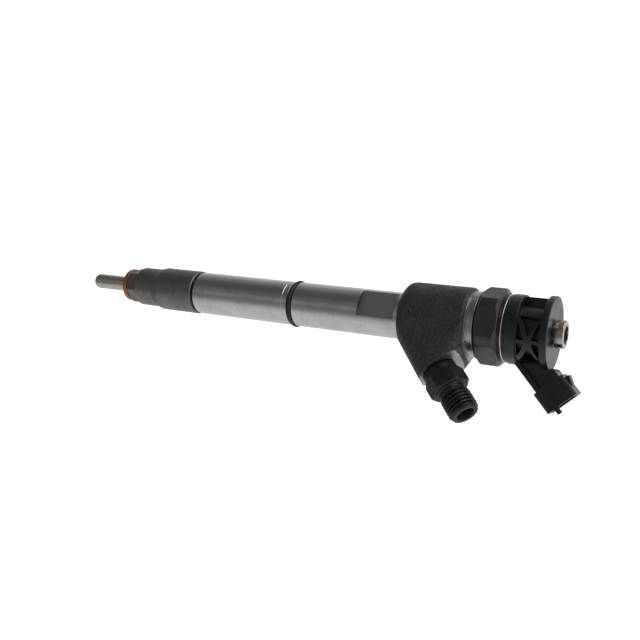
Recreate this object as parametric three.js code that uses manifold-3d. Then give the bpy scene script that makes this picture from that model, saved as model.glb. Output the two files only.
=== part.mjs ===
// A common-rail diesel fuel injector with a solenoid valve, as an assembly of its separate pieces.
// Millimetres. +Z runs along the injector from the nozzle to the return end. z = 0 is the face of the
// copper washer that seals in the cylinder head, and +X points to the side of the high-pressure inlet.
import * as THREE from "three";
import { mergeVertices } from "three/addons/utils/BufferGeometryUtils.js";
import { ConvexGeometry } from "three/addons/geometries/ConvexGeometry.js";
import Module from "manifold-3d";

const wasm = await Module();
wasm.setup();

// ---------------------------------------------------------------- driving dimensions

// Clearances
const seatGap = 0.05; // between faces that are stacked along the injector
const fitGap = 0.12; // on the radius, between pieces that screw or push together
const slideGap = 0.05; // on the radius, between a guide and what slides in it
const slantGap = 0.3; // between pieces on a slanted axis and the faces they seat on

// Facets of a full circle
const outerFacets = 32;
const innerFacets = 20;
const drillFacets = 12;

const overrun = 1; // how far a cutting shape passes the face that it cuts
const edge = 0.4; // the chamfer on turned edges

// Sealing washer
const washerThick = 2;
const washerRadius = 7.5;

// Nozzle and needle
const shankRadius = 3.5;
const shankReach = 20.7; // from the washer's face down to the tip cone
const tipConeLength = 1.6;
const tipNibRadius = 1.3;
const tipNibLength = 0.8;
const nozzleRadius = 7; // the thick upper part inside the retaining nut
const nozzleConeStart = 5.4; // above the washer
const nozzleConeLength = 3.2;
const nozzleLength = 25; // washer to the nozzle's upper face
const needleRadius = 2;
const needleStemRadius = 1.35;
const needleTipRadius = 0.35;
const stemBoreRadius = 1.9;
const seatHalfAngle = THREE.MathUtils.degToRad(30);
const sacRadius = 0.45;
const sacDepth = 0.4;
const galleryRadius = 3;
const galleryHeight = 12; // above the washer
const galleryLength = 2.2;
const needlePinRadius = 1.1;
const needlePinLength = 3.6;
const needleSeatThick = 1.2;
const needleSpringWire = 0.9;
const needleSpringRadius = 2.4;
const needleShimThick = 1.3;
const springTurns = 7;
const needleStand = 0.3; // how far the needle's shoulder stands out of the nozzle
const needleSeatPlay = 0.12; // along the axis, between the needle's cone and its seat

// Locating dowels between nozzle and body
const dowelRadius = 0.8;
const dowelLength = 4;
const dowelCircle = 5.2;
const dowelAzimuths = [110, 250];

// Retaining nut
const nutFrontHex = 14; // across flats
const nutFrontLength = 5.4;
const nutMidWall = 1.8; // over the nozzle, along the nut's middle
const nutMidLength = 10.6;
const nutTaperLength = 3.3;
const nutWall = 1.5; // over the body's thread
const nutLength = 38.7;
const nutFrontTurn = -15.5; // degrees from +X to the middle of a flat

// Body shaft
const bodyThreadStep = 1.2; // from the nozzle's radius out to the body's lower thread
const bodyThreadLength = 12.6;
const shaftLowRadius = 9.4;
const shaftRadius = 9.5;
const shaftLowLength = 49.2; // shoulder to O-ring groove
const witnessGrooveSetback = 2.4;
const witnessGrooveWidth = 0.4;
const witnessGrooveDepth = 0.25;
const shoulderRelief = 1.1; // axial room between the nut and the body's shoulder
const oRingWire = 1.8;
const oRingGrooveDepth = 1.3;
const oRingGrooveLength = 2.6;
const shaftHighLength = 48.8; // O-ring groove to head
const flatsStart = 30.6; // from the O-ring groove
const flatsLength = 16;
const flatsAcross = 15;

// Body bores
const springBoreRadius = 3.3;
const springBoreLength = 18;
const pistonRadius = 2.1;
const pistonNeckRadius = 1.5;
const feedRadius = 0.9;
const feedCircle = 5.6;

// Head, which holds the valve and carries the inlet boss
const headRadius = 14.25;
const headLength = 28.1;
const headRounding = 3.8;
const headBevel = 0.9;
const neckRadius = 13;
const neckLength = 3.7;
const neckGrooveRadius = 12.5;
const neckRimRadius = 13.3;
const bodyTopThreadRadius = 12;
const bodyTopThreadLength = 6.7;
const valveBoreRadius = 4.3;
const valveSeatHeight = 10.1; // above the head's lower face
const clampBoreRadius = 7.8;
const clampBoreLength = 10.5;
const armatureBoreRadius = 10;

// Control valve
const sealRingThick = 1;
const valveFlangeThick = 4.1;
const valveNoseRadius = 3.4;
const valveNoseHeight = 1;
const throttleRadius = 0.3;
const controlRoomHeight = 1.3;
const ballRadius = 0.75;
const ballSeatRadius = 0.95;
const ballSeatDepth = 0.5;
const ballGuideRadius = 1.3;
const ballGuideThick = 0.9;
const clampScrewBore = 4;
const clampScrewLength = 5.9;
const keywayHalf = 1;
const keywayDepth = 1.5;

// Armature
const guideSleeveRadius = 3;
const guideSleeveLength = 3;
const guideFlangeThick = 1.35;
const guidePortRadius = 0.9;
const guidePortCircle = 6;
const armaturePinRadius = 1.45;
const armatureTailRadius = 1.15;
const armatureTailReach = 1.7; // past the plate
const armatureRoom = 0.68; // on the radius, between the plate and the shim around it
const armatureThick = 1.7;
const armatureRise = 0.8; // plate above the guide's flange
const armatureSlotWidth = 1.4;
const armatureSlotInner = 4.5;
const clipRadius = 2.1;
const clipThick = 0.5;
const liftShimLength = 2.6;
const liftShimWall = 0.9;

// Magnet
const coreGap = 0.25; // on the radius, between the core and its bore
const coreWall = 1.95; // outside the coil
const coreLength = 13.8;
const coreBoreRadius = 2.5;
const coreVentRadius = 1.6;
const coilSlotInner = 4.4;
const coilSlotLength = 7.5;
const bobbinWall = 0.6;
const bobbinGap = 0.2;
const magnetSpringWire = 0.6;
const magnetSpringRadius = 1.8;
const magnetSpringLength = 8.4;
const adjustShimThick = 1;
const adjustShimBore = 1;
const magnetRingWire = 1.5;
const magnetRingGap = 0.1;
const magnetRingGroove = 2;
const magnetRingHeight = 10.4; // groove's middle above the core's pole face
const coilLeadRadius = 0.4;
const coilLeadInset = 1.6; // from the coil slot's outer wall
const coilLeadReach = 6;
const sleeveFlangeInset = 0.2; // inside the body's upper thread
const sleeveFlangeThick = 1.25;
const sleeveRadius = 10.1;
const sleeveBore = 8.3;
const sleeveReach = 6.8; // flange to the sleeve's upper end

// Solenoid nut
const solenoidNutHex = 28; // across flats
const solenoidNutTurned = 15.1; // radius that its corners are turned to
const solenoidNutLength = 8.8;
const solenoidNutChamfer = 1.2;
const solenoidNutTurn = -9.9; // degrees from +X to the middle of a flat
const solenoidNutStart = 4; // above the head's upper face

// Backing ring and plastic cap
const backingRingRadius = 13.2;
const backingRingThick = 0.5;
const backingRingRise = 1.15; // above the solenoid nut
const capRadius = 13.4;
const capRimRadius = 13.1;
const capRimLength = 1;
const capSkirtLength = 5.1;
const capCageLength = 9.2;
const capCageRadius = 12.7;
const capPocketRadius = 10.2;
const capHubRadius = 9.4;
const capDiscRadius = 14;
const capDiscThick = 2.5;
const cagePanelHalf = 47; // degrees either side of a panel's middle
const cagePanelTurn = 70; // degrees from the connector to a panel's middle
const cageBarHalf = 5.5;
const latticeHalf = 1.3; // from the lattice's crossing to the windows beside the middle bar

// Electrical connector, on the cap's side
const snoutAzimuth = 26.5;
const snoutTilt = 46; // from +Z
const snoutCrossing = 1.05; // where its axis crosses the injector's, below the cap
const snoutStart = 9;
const neckEnd = 26.3;
const snoutNeck = { wide: 10.6, thick: 9.4, corner: 0.6, flange: 2, recess: 1.6 };
const shroud = { wide: 13, thick: 11.4, end: 35, wall: 1.4, corner: 2.8, floor: 26.9 };
const well = { wide: 7.4, thick: 5.6, corner: 0.4, floor: 22.5 };
const keyRib = { place: 2.3, wide: 1.6, proud: 0.9, start: 30.8, end: 37.4 };
const latchWedge = { wide: 4.2, proud: 1.5, start: 27.4, end: 32 };
const terminal = { pitch: 4.6, wide: 1.5, thick: 0.63, start: 15, end: 28.9 };

// Return nipple
const nippleRadius = 5.4;
const nippleGrooveRadius = 4.3;
const nippleGrooveLength = 0.4;
const nippleLength = 4;
const nippleBore = 3.1;
const nippleTubeRadius = 4.1;
const nippleFootRadius = 7.9;
const nippleFootThick = 1.5;

// High-pressure inlet
const inletCrossing = 0.15; // where its axis crosses the injector's, below the head's start
const inletTilt = 47.3; // from +Z
const bossFace = 29.6; // along the inlet's axis
const bossRoot = 14; // the boss keeps its half round from its face back to here
const bossHalfWidth = 8.6;
const bossReach = 8.9; // from the inlet's axis up to the face's square end
const inletDrillRadius = 1.2;
const portRadius = 5;
const portDepth = 10;
const inletSealThick = 0.8;
const collarRadius = 6.9;
const collarLength = 2.3;
const inletHex = 14; // across flats
const inletHexTurn = 30; // degrees, so that a corner points at the nozzle
const inletHexStart = 32.6;
const inletHexEnd = 39.4;
const inletNeckRadius = 5.3;
const threadRadius = 6;
const threadPitch = 1.5;
const threadDepth = 0.75;
const threadTurns = 5;
const threadStart = 41.7;
const inletEnd = 50.7;
const inletFaceRadius = 5.1;
const inletMouthRadius = 3.5;
const inletMouthDepth = 4.6;
const inletBoreRadius = 1.9;
const filterRadius = 1.6;
const filterLength = 14;
const filterGrooves = 5;
const filterGrooveFloor = 0.96;
const filterGrooveHalf = 0.25;
const filterCollar = 1.5; // left whole below the grooves
const filterSetback = 0.5;

// ---------------------------------------------------------------- radii of what fits together

const bodyThreadRadius = nozzleRadius + bodyThreadStep;
const nutRadius = bodyThreadRadius + nutWall;
const nutMidRadius = nozzleRadius + nutMidWall;
const guideRadius = armatureBoreRadius - fitGap;
const armatureRadius = guideRadius - liftShimWall - armatureRoom;
const coreRadius = armatureBoreRadius - coreGap;
const coilSlotOuter = coreRadius - coreWall;
const coilLeadCircle = coilSlotOuter - coilLeadInset;
const sleeveFlangeRadius = bodyTopThreadRadius - sleeveFlangeInset;

// ---------------------------------------------------------------- stations along the injector

const nozzleTop = washerThick + nozzleLength;
const nutBottom = washerThick + seatGap;
const nutTop = nutBottom + nutLength;
const bodyBottom = nozzleTop + seatGap;
const bodyShoulder = nutTop + shoulderRelief;
const grooveBottom = bodyShoulder + shaftLowLength;
const grooveTop = grooveBottom + oRingGrooveLength;
const headBottom = grooveTop + shaftHighLength;
const headTop = headBottom + headLength;
const springBoreTop = bodyBottom + springBoreLength;
const valveBoreBottom = headBottom - seatGap;
const valveSeat = headBottom + valveSeatHeight;
const armatureFloor = valveSeat + clampBoreLength;
const bodyTop = headTop + neckLength + bodyTopThreadLength;
const valveBottom = valveBoreBottom + sealRingThick + 2 * seatGap;
const valveFlangeTop = valveSeat + seatGap + valveFlangeThick;
const valveTop = valveFlangeTop + valveNoseHeight;
const needleShoulder = nozzleTop + needleStand;
const pistonBottom = needleShoulder + needlePinLength + seatGap;
const pistonTop = valveSeat - 1;
const guideFlangeTop = armatureFloor + seatGap + guideFlangeThick;
const armatureBottom = guideFlangeTop + armatureRise;
const armatureTop = armatureBottom + armatureThick;
const coreBottom = guideFlangeTop + 2 * seatGap + liftShimLength;
const coreTop = coreBottom + coreLength;
const sleeveBottom = Math.max(bodyTop, coreTop) + seatGap;
const solenoidNutBottom = headTop + solenoidNutStart;
const solenoidNutSeat = sleeveBottom + sleeveFlangeThick + seatGap;
const solenoidNutTop = Math.max(solenoidNutBottom + solenoidNutLength, solenoidNutSeat + 1);
const sleeveTop = sleeveBottom + sleeveFlangeThick + sleeveReach;
const backingBottom = solenoidNutTop + backingRingRise;
const capBottom = backingBottom + backingRingThick + seatGap;
const skirtTop = capBottom + capSkirtLength;
const cageTop = skirtTop + capCageLength;
const capTop = cageTop + capDiscThick;
const capBoreTop = sleeveTop + seatGap;
const nippleTop = capTop + nippleLength;

// ---------------------------------------------------------------- shapes

// A closed geometry as a solid that can be joined and cut.
function solid(geometry, frame = new THREE.Matrix4()) {
  const bare = new THREE.BufferGeometry();
  bare.setAttribute("position", geometry.getAttribute("position"));
  if (geometry.index) bare.setIndex(geometry.index);
  const merged = mergeVertices(bare.clone().applyMatrix4(frame), 1e-4);
  const corners = [...merged.index.array];
  const triVerts = [];
  for (let i = 0; i < corners.length; i += 3) {
    const [a, b, c] = corners.slice(i, i + 3);
    if (a !== b && b !== c && c !== a) triVerts.push(a, b, c);
  }
  const vertProperties = merged.getAttribute("position").array;
  const mesh = new wasm.Mesh({ numProp: 3, vertProperties, triVerts: new Uint32Array(triVerts) });
  return new wasm.Manifold(mesh);
}

// A solid turned around Z. The outline lists [radius, height] up the outside and down the inside.
function turned(outline, facets = innerFacets, frame) {
  const points = outline.map(([radius, height]) => new THREE.Vector2(radius, height));
  const closed = outline[0][0] === 0 ? points : [...points, points[0].clone()];
  return solid(new THREE.LatheGeometry(closed, facets).rotateX(Math.PI / 2), frame);
}

function rod(radius, low, high, facets = innerFacets, frame) {
  return turned([[0, low], [radius, low], [radius, high], [0, high]], facets, frame);
}

function ring(inner, outer, low, high, facets = innerFacets, frame) {
  return turned([[inner, low], [outer, low], [outer, high], [inner, high]], facets, frame);
}

// A hexagonal bar with flats across the given size, one of them facing the turn in degrees from +X.
function hexBar(acrossFlats, low, high, turn, frame = new THREE.Matrix4()) {
  const radius = acrossFlats / 2 / Math.cos(Math.PI / 6);
  const bar = new THREE.CylinderGeometry(radius, radius, high - low, 6).rotateX(Math.PI / 2);
  bar.rotateZ(THREE.MathUtils.degToRad(turn)).translate(0, 0, (low + high) / 2);
  return solid(bar, frame);
}

function block([lowX, highX], [lowY, highY], [lowZ, highZ], frame) {
  const box = new THREE.BoxGeometry(highX - lowX, highY - lowY, highZ - lowZ);
  box.translate((lowX + highX) / 2, (lowY + highY) / 2, (lowZ + highZ) / 2);
  return solid(box, frame);
}

// A bar along Z with a rectangular section and rounded corners.
function roundedBar(wide, thick, corner, low, high, frame) {
  const x = wide / 2;
  const y = thick / 2;
  const outline = new THREE.Shape();
  outline.moveTo(-x + corner, -y);
  outline.lineTo(x - corner, -y).absarc(x - corner, -y + corner, corner, -Math.PI / 2, 0);
  outline.lineTo(x, y - corner).absarc(x - corner, y - corner, corner, 0, Math.PI / 2);
  outline.lineTo(-x + corner, y).absarc(-x + corner, y - corner, corner, Math.PI / 2, Math.PI);
  outline.lineTo(-x, -y + corner).absarc(-x + corner, -y + corner, corner, Math.PI, 1.5 * Math.PI);
  const extent = { depth: high - low, bevelEnabled: false, curveSegments: 2 };
  return solid(new THREE.ExtrudeGeometry(outline, extent).translate(0, 0, low), frame);
}

// A straight hole or rod between two points.
function drill(radius, from, to) {
  const along = to.clone().sub(from);
  const up = new THREE.Vector3(0, 0, 1);
  const turn = new THREE.Quaternion().setFromUnitVectors(up, along.clone().normalize());
  const frame = new THREE.Matrix4().compose(from, turn, new THREE.Vector3(1, 1, 1));
  return rod(radius, 0, along.length(), drillFacets, frame);
}

function polar(radius, degrees, height) {
  const angle = THREE.MathUtils.degToRad(degrees);
  return new THREE.Vector3(radius * Math.cos(angle), radius * Math.sin(angle), height);
}

function hull(points) {
  return solid(new ConvexGeometry(points));
}

class Helix extends THREE.Curve {
  constructor(radius, low, high, turns) {
    super();
    Object.assign(this, { radius, low, high, turns });
  }

  getPoint(t, target = new THREE.Vector3()) {
    const angle = 2 * Math.PI * this.turns * t;
    const height = this.low + (this.high - this.low) * t;
    return target.set(this.radius * Math.cos(angle), this.radius * Math.sin(angle), height);
  }
}

// A coil spring that fills the space from low to high.
function coilSpring(radius, wire, low, high, turns) {
  const section = new THREE.Shape();
  section.absarc(0, 0, wire / 2, 0, 2 * Math.PI);
  const extrudePath = new Helix(radius, low + wire / 2, high - wire / 2, turns);
  const sweep = { extrudePath, steps: turns * 10, curveSegments: 3 };
  return solid(new THREE.ExtrudeGeometry(section, sweep));
}

// An O-ring of round wire, given the radius of its inner edge.
function oRing(innerRadius, wire, middle) {
  const outline = [];
  for (let i = 0; i < 8; i++) {
    const angle = (2 * Math.PI * i) / 8 - Math.PI / 2;
    const radius = innerRadius + wire / 2 + (wire / 2) * Math.cos(angle);
    outline.push([radius, middle + (wire / 2) * Math.sin(angle)]);
  }
  return turned(outline);
}

// ---------------------------------------------------------------- finishes

const finishes = {
  steel: { color: 0xa3a5a8, roughness: 0.35, metalness: 1 },
  darkSteel: { color: 0x5c5854, roughness: 0.5, metalness: 0.8 },
  forging: { color: 0x57514e, roughness: 0.75, metalness: 0.5 },
  blackOxide: { color: 0x3a3836, roughness: 0.5, metalness: 0.7 },
  springSteel: { color: 0x77787a, roughness: 0.4, metalness: 1 },
  copper: { color: 0xb4683c, roughness: 0.4, metalness: 1 },
  rubber: { color: 0x16171a, roughness: 0.6, metalness: 0 },
  plastic: { color: 0x1c2428, roughness: 0.55, metalness: 0 },
  tin: { color: 0xc4c2b8, roughness: 0.35, metalness: 1 },
};

const injector = new THREE.Group();
injector.name = "fuel_injector";

function add(name, shape, finish) {
  const { vertProperties, triVerts } = shape.getMesh();
  const geometry = new THREE.BufferGeometry();
  geometry.setAttribute("position", new THREE.BufferAttribute(vertProperties, 3));
  geometry.setIndex(new THREE.BufferAttribute(triVerts, 1));
  const material = new THREE.MeshStandardMaterial({ ...finishes[finish], flatShading: true });
  const mesh = new THREE.Mesh(geometry, material);
  mesh.name = name;
  injector.add(mesh);
}

// ---------------------------------------------------------------- slanted frames

const inletOrigin = new THREE.Vector3(0, 0, headBottom - inletCrossing);
const inletFrame = new THREE.Matrix4().makeRotationY(THREE.MathUtils.degToRad(inletTilt));
inletFrame.setPosition(inletOrigin);

const snoutFrame = new THREE.Matrix4().makeRotationZ(THREE.MathUtils.degToRad(snoutAzimuth));
snoutFrame.multiply(new THREE.Matrix4().makeRotationY(THREE.MathUtils.degToRad(snoutTilt)));
snoutFrame.setPosition(0, 0, capBottom - snoutCrossing);

// ---------------------------------------------------------------- sealing washer and nozzle

add(
  "sealing_washer",
  ring(shankRadius + fitGap, washerRadius, 0, washerThick, outerFacets),
  "copper",
);

// The seat's height at a radius, on the cone that closes the stem bore.
const seatTop = -shankReach + tipConeLength;
function seatHeight(radius) {
  return seatTop - (stemBoreRadius - radius) / Math.tan(seatHalfAngle);
}

const tipEnd = -shankReach - tipConeLength - tipNibLength;
const galleryBottom = washerThick + galleryHeight - galleryLength;
const galleryTop = washerThick + galleryHeight;
const coneBottom = washerThick + nozzleConeStart;
const coneTop = coneBottom + nozzleConeLength;

function nozzleBody() {
  const guideBore = needleRadius + slideGap;
  const shape = turned([
    [0, tipEnd],
    [tipNibRadius * 0.7, tipEnd],
    [tipNibRadius, tipEnd + tipNibLength],
    [shankRadius - tipConeLength / 2, -shankReach - tipConeLength * 0.75],
    [shankRadius, -shankReach],
    [shankRadius, coneBottom],
    [nozzleRadius, coneTop],
    [nozzleRadius, nozzleTop],
    [guideBore, nozzleTop],
    [guideBore, galleryTop],
    [galleryRadius, galleryTop - galleryLength * 0.3],
    [galleryRadius, galleryBottom + galleryLength * 0.3],
    [stemBoreRadius, galleryBottom],
    [stemBoreRadius, seatTop],
    [sacRadius, seatHeight(sacRadius)],
    [sacRadius, seatHeight(sacRadius) - sacDepth],
    [0, seatHeight(sacRadius) - sacDepth - 0.2],
  ], outerFacets);
  const feedTop = polar(feedCircle, 0, nozzleTop + overrun);
  const feedBottom = polar(galleryRadius - feedRadius, 0, (galleryTop + galleryBottom) / 2);
  let result = shape.subtract(drill(feedRadius, feedBottom, feedTop));
  for (const azimuth of dowelAzimuths) {
    const low = polar(dowelCircle, azimuth, nozzleTop - dowelLength / 2 - seatGap);
    const high = polar(dowelCircle, azimuth, nozzleTop + overrun);
    result = result.subtract(drill(dowelRadius + fitGap, low, high));
  }
  return result;
}
add("nozzle_body", nozzleBody(), "steel");

// The needle's guide, its thin stem, and the pin that its spring seat and the piston push on.
add(
  "nozzle_needle",
  turned(
    [
      [0, seatHeight(needleTipRadius) + needleSeatPlay],
      [needleTipRadius, seatHeight(needleTipRadius) + needleSeatPlay],
      [needleStemRadius, seatHeight(needleStemRadius) + needleSeatPlay],
      [needleStemRadius, galleryTop - galleryLength * 0.3],
      [needleRadius, galleryTop + 0.3],
      [needleRadius, needleShoulder],
      [needlePinRadius, needleShoulder],
      [needlePinRadius, needleShoulder + needlePinLength],
      [0, needleShoulder + needlePinLength],
    ],
  ),
  "steel",
);

dowelAzimuths.forEach((azimuth, index) => {
  const low = polar(dowelCircle, azimuth, nozzleTop - dowelLength / 2);
  const high = polar(dowelCircle, azimuth, nozzleTop + dowelLength / 2);
  add(`locating_dowel_${index + 1}`, drill(dowelRadius, low, high), "steel");
});

// ---------------------------------------------------------------- retaining nut

function retainingNut() {
  const taperTop = nutBottom + nutFrontLength + nutMidLength + nutTaperLength;
  const frontCorner = nutFrontHex / 2 / Math.cos(Math.PI / 6);
  const bore = nozzleRadius + fitGap;
  const outside = turned([
    [0, nutBottom],
    [nutFrontHex / 2 - edge / 2, nutBottom],
    [frontCorner, nutBottom + 2 * edge],
    [frontCorner, nutBottom + nutFrontLength],
    [nutMidRadius, nutBottom + nutFrontLength + 2 * edge],
    [nutMidRadius, taperTop - nutTaperLength],
    [nutRadius, taperTop],
    [nutRadius, nutTop - edge],
    [nutRadius - edge, nutTop],
    [0, nutTop],
  ], outerFacets);
  const flats = hexBar(nutFrontHex, nutBottom - overrun, nutBottom + nutFrontLength, nutFrontTurn);
  const above = rod(nutRadius + overrun, nutBottom + nutFrontLength, nutTop + overrun, outerFacets);
  const inside = turned([
    [0, nutBottom - overrun],
    [shankRadius + 2 * fitGap, nutBottom - overrun],
    [shankRadius + 2 * fitGap, coneBottom - seatGap],
    [bore, coneTop - seatGap],
    [bore, nozzleTop - 1.4],
    [bodyThreadRadius + fitGap, nozzleTop - 0.6],
    [bodyThreadRadius + fitGap, nutTop + overrun],
    [0, nutTop + overrun],
  ], outerFacets);
  return outside.intersect(flats.add(above)).subtract(inside);
}
add("nozzle_retaining_nut", retainingNut(), "darkSteel");

// ---------------------------------------------------------------- needle spring

add(
  "needle_spring_seat",
  ring(
    needlePinRadius + slideGap,
    springBoreRadius - 0.3,
    needleShoulder + seatGap,
    needleShoulder + seatGap + needleSeatThick,
  ),
  "steel",
);

const needleSpringBottom = needleShoulder + 2 * seatGap + needleSeatThick;
const needleSpringTop = springBoreTop - needleShimThick - 2 * seatGap;

add(
  "needle_spring",
  coilSpring(needleSpringRadius, needleSpringWire, needleSpringBottom, needleSpringTop, springTurns),
  "springSteel",
);

add(
  "needle_spring_shim",
  ring(
    pistonNeckRadius + 0.2,
    springBoreRadius - 0.15,
    springBoreTop - seatGap - needleShimThick,
    springBoreTop - seatGap,
  ),
  "steel",
);

// ---------------------------------------------------------------- injector body

// The forged head and its inlet boss, blended by straight sides between the two.
function forging() {
  const outline = [];
  for (let i = 0; i < outerFacets; i++) {
    const azimuth = (360 * i) / outerFacets;
    for (let step = 0; step <= 3; step++) {
      const angle = (Math.PI / 2) * (step / 3);
      const radius = headRadius - headRounding * (1 - Math.sin(angle));
      const height = headBottom + headRounding * (1 - Math.cos(angle));
      outline.push(polar(radius, azimuth, height));
    }
    outline.push(polar(headRadius, azimuth, headTop - headBevel));
    outline.push(polar(headRadius - headBevel, azimuth, headTop));
  }
  // The boss's face: a half round on the nozzle side, and a square end on the other.
  for (let i = 0; i <= 12; i++) {
    const angle = Math.PI * (i / 12) - Math.PI / 2;
    const across = bossHalfWidth * Math.sin(angle);
    const down = bossHalfWidth * Math.cos(angle);
    for (const along of [bossRoot, bossFace]) {
      outline.push(new THREE.Vector3(down, across, along).applyMatrix4(inletFrame));
    }
  }
  for (const side of [-1, 1]) {
    outline.push(new THREE.Vector3(-bossReach, side * bossHalfWidth, bossFace).applyMatrix4(inletFrame));
  }
  return hull(outline);
}

function shaftOutline() {
  const witness = grooveBottom - witnessGrooveSetback;
  const neckTop = headTop + neckLength;
  return turned([
    [0, bodyBottom],
    [bodyThreadRadius - 0.6, bodyBottom],
    [bodyThreadRadius, bodyBottom + 0.6],
    [bodyThreadRadius, bodyBottom + bodyThreadLength],
    [bodyThreadRadius - 0.5, bodyBottom + bodyThreadLength + 0.5],
    [bodyThreadRadius - 0.5, bodyShoulder],
    [shaftLowRadius - edge, bodyShoulder],
    [shaftLowRadius, bodyShoulder + edge],
    [shaftLowRadius, witness - witnessGrooveWidth / 2],
    [shaftLowRadius - witnessGrooveDepth, witness],
    [shaftLowRadius, witness + witnessGrooveWidth / 2],
    [shaftLowRadius, grooveBottom],
    [shaftRadius - oRingGrooveDepth, grooveBottom],
    [shaftRadius - oRingGrooveDepth, grooveTop],
    [shaftRadius, grooveTop],
    [shaftRadius, headBottom + 1],
    [neckRadius, headTop - 1],
    [neckRadius, headTop + 0.3],
    [neckGrooveRadius, headTop + 0.45],
    [neckGrooveRadius, headTop + 0.95],
    [neckRadius, headTop + 1.1],
    [neckRadius, neckTop - 0.9],
    [neckRimRadius, neckTop - 0.8],
    [neckRimRadius, neckTop - 0.3],
    [bodyTopThreadRadius, neckTop],
    [bodyTopThreadRadius, bodyTop - 0.5],
    [bodyTopThreadRadius - 0.5, bodyTop],
    [0, bodyTop],
  ], outerFacets);
}

function bodyBores() {
  return turned([
    [0, bodyBottom - overrun],
    [springBoreRadius, bodyBottom - overrun],
    [springBoreRadius, springBoreTop],
    [pistonRadius + 2 * slideGap, springBoreTop],
    [pistonRadius + 2 * slideGap, valveBoreBottom],
    [valveBoreRadius, valveBoreBottom],
    [valveBoreRadius, valveSeat],
    [clampBoreRadius, valveSeat],
    [clampBoreRadius, armatureFloor],
    [armatureBoreRadius, armatureFloor],
    [armatureBoreRadius, bodyTop + overrun],
    [0, bodyTop + overrun],
  ], outerFacets);
}

function injectorBody() {
  const flatsBottom = grooveTop + flatsStart;
  const flatsTop = flatsBottom + flatsLength;
  const beyond = [-2 * shaftRadius, 2 * shaftRadius];
  const feedTop = inletOrigin.z + feedCircle / Math.tan(THREE.MathUtils.degToRad(inletTilt));
  let body = shaftOutline().add(forging());
  for (const side of [-1, 1]) {
    const depth = [flatsAcross / 2, 2 * shaftRadius].map((value) => side * value).sort((a, b) => a - b);
    body = body.subtract(block(beyond, depth, [flatsBottom, flatsTop]));
  }
  body = body.subtract(bodyBores());
  const port = rod(portRadius + slantGap / 2, bossFace - portDepth, bossFace + 5, innerFacets, inletFrame);
  const passage = rod(inletDrillRadius, valveBoreRadius + 1, bossFace, drillFacets, inletFrame);
  const feedBottom = bodyBottom - overrun;
  const feed = drill(feedRadius, polar(feedCircle, 0, feedBottom), polar(feedCircle, 0, feedTop));
  for (const bore of [port, passage, feed]) body = body.subtract(bore);
  for (const azimuth of dowelAzimuths) {
    const low = polar(dowelCircle, azimuth, bodyBottom - overrun);
    const high = polar(dowelCircle, azimuth, nozzleTop + dowelLength / 2 + seatGap);
    body = body.subtract(drill(dowelRadius + fitGap, low, high));
  }
  return body;
}
add("injector_body", injectorBody(), "forging");

const grooveFloor = shaftRadius - oRingGrooveDepth;
add("shaft_o_ring", oRing(grooveFloor + 0.1, oRingWire, (grooveBottom + grooveTop) / 2), "rubber");

// ---------------------------------------------------------------- control valve

add(
  "control_piston",
  turned(
    [
      [0, pistonBottom],
      [pistonNeckRadius, pistonBottom],
      [pistonNeckRadius, springBoreTop + 1.2],
      [pistonRadius, springBoreTop + 1.8],
      [pistonRadius, pistonTop],
      [0, pistonTop],
    ],
  ),
  "steel",
);

add(
  "valve_seal_ring",
  ring(
    pistonRadius + 0.5,
    valveBoreRadius - fitGap,
    valveBoreBottom + seatGap,
    valveBoreBottom + seatGap + sealRingThick,
  ),
  "copper",
);

const controlRoomTop = pistonTop + controlRoomHeight;

function valveBody() {
  const spigot = valveBoreRadius - fitGap;
  const shape = turned([
    [pistonRadius + slideGap, valveBottom],
    [spigot, valveBottom],
    [spigot, valveSeat + seatGap],
    [clampBoreRadius - fitGap, valveSeat + seatGap],
    [clampBoreRadius - fitGap, valveFlangeTop],
    [valveNoseRadius + 0.6, valveFlangeTop],
    [valveNoseRadius, valveTop],
    [ballSeatRadius, valveTop],
    [throttleRadius, valveTop - ballSeatDepth],
    [throttleRadius, controlRoomTop + 0.5],
    [pistonRadius + slideGap, controlRoomTop],
  ]);
  const feedHeight = (pistonTop + controlRoomTop) / 2;
  return shape.subtract(drill(throttleRadius, polar(0, 0, feedHeight), polar(spigot + 1, 180, feedHeight)));
}
add("valve_body", valveBody(), "steel");

// The ball sits in its cone, one seat gap off the wall.
const ballConeAngle = Math.atan2(ballSeatDepth, ballSeatRadius - throttleRadius);
const ballCentre =
  valveTop + (ballRadius + seatGap - ballSeatRadius * Math.sin(ballConeAngle)) / Math.cos(ballConeAngle);
const ballTop = ballCentre + ballRadius;

const ballGeometry = new THREE.SphereGeometry(ballRadius, 16, 10).rotateX(Math.PI / 2);
add("valve_ball", solid(ballGeometry.translate(0, 0, ballCentre)), "steel");

const ballGuideTop = ballTop + seatGap + ballGuideThick;
add("ball_guide", rod(ballGuideRadius, ballTop + seatGap, ballGuideTop), "steel");

function clampScrew() {
  const low = valveFlangeTop + seatGap;
  const shape = ring(clampScrewBore, clampBoreRadius - fitGap, low, low + clampScrewLength);
  const keyways = [0, 90].map((turn) => {
    const frame = new THREE.Matrix4().makeRotationZ(THREE.MathUtils.degToRad(turn));
    const across = [-clampBoreRadius, clampBoreRadius];
    const high = low + clampScrewLength + overrun;
    return block(across, [-keywayHalf, keywayHalf], [high - overrun - keywayDepth, high], frame);
  });
  return keyways.reduce((left, keyway) => left.subtract(keyway), shape);
}
add("valve_clamp_screw", clampScrew(), "darkSteel");

// ---------------------------------------------------------------- armature

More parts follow.
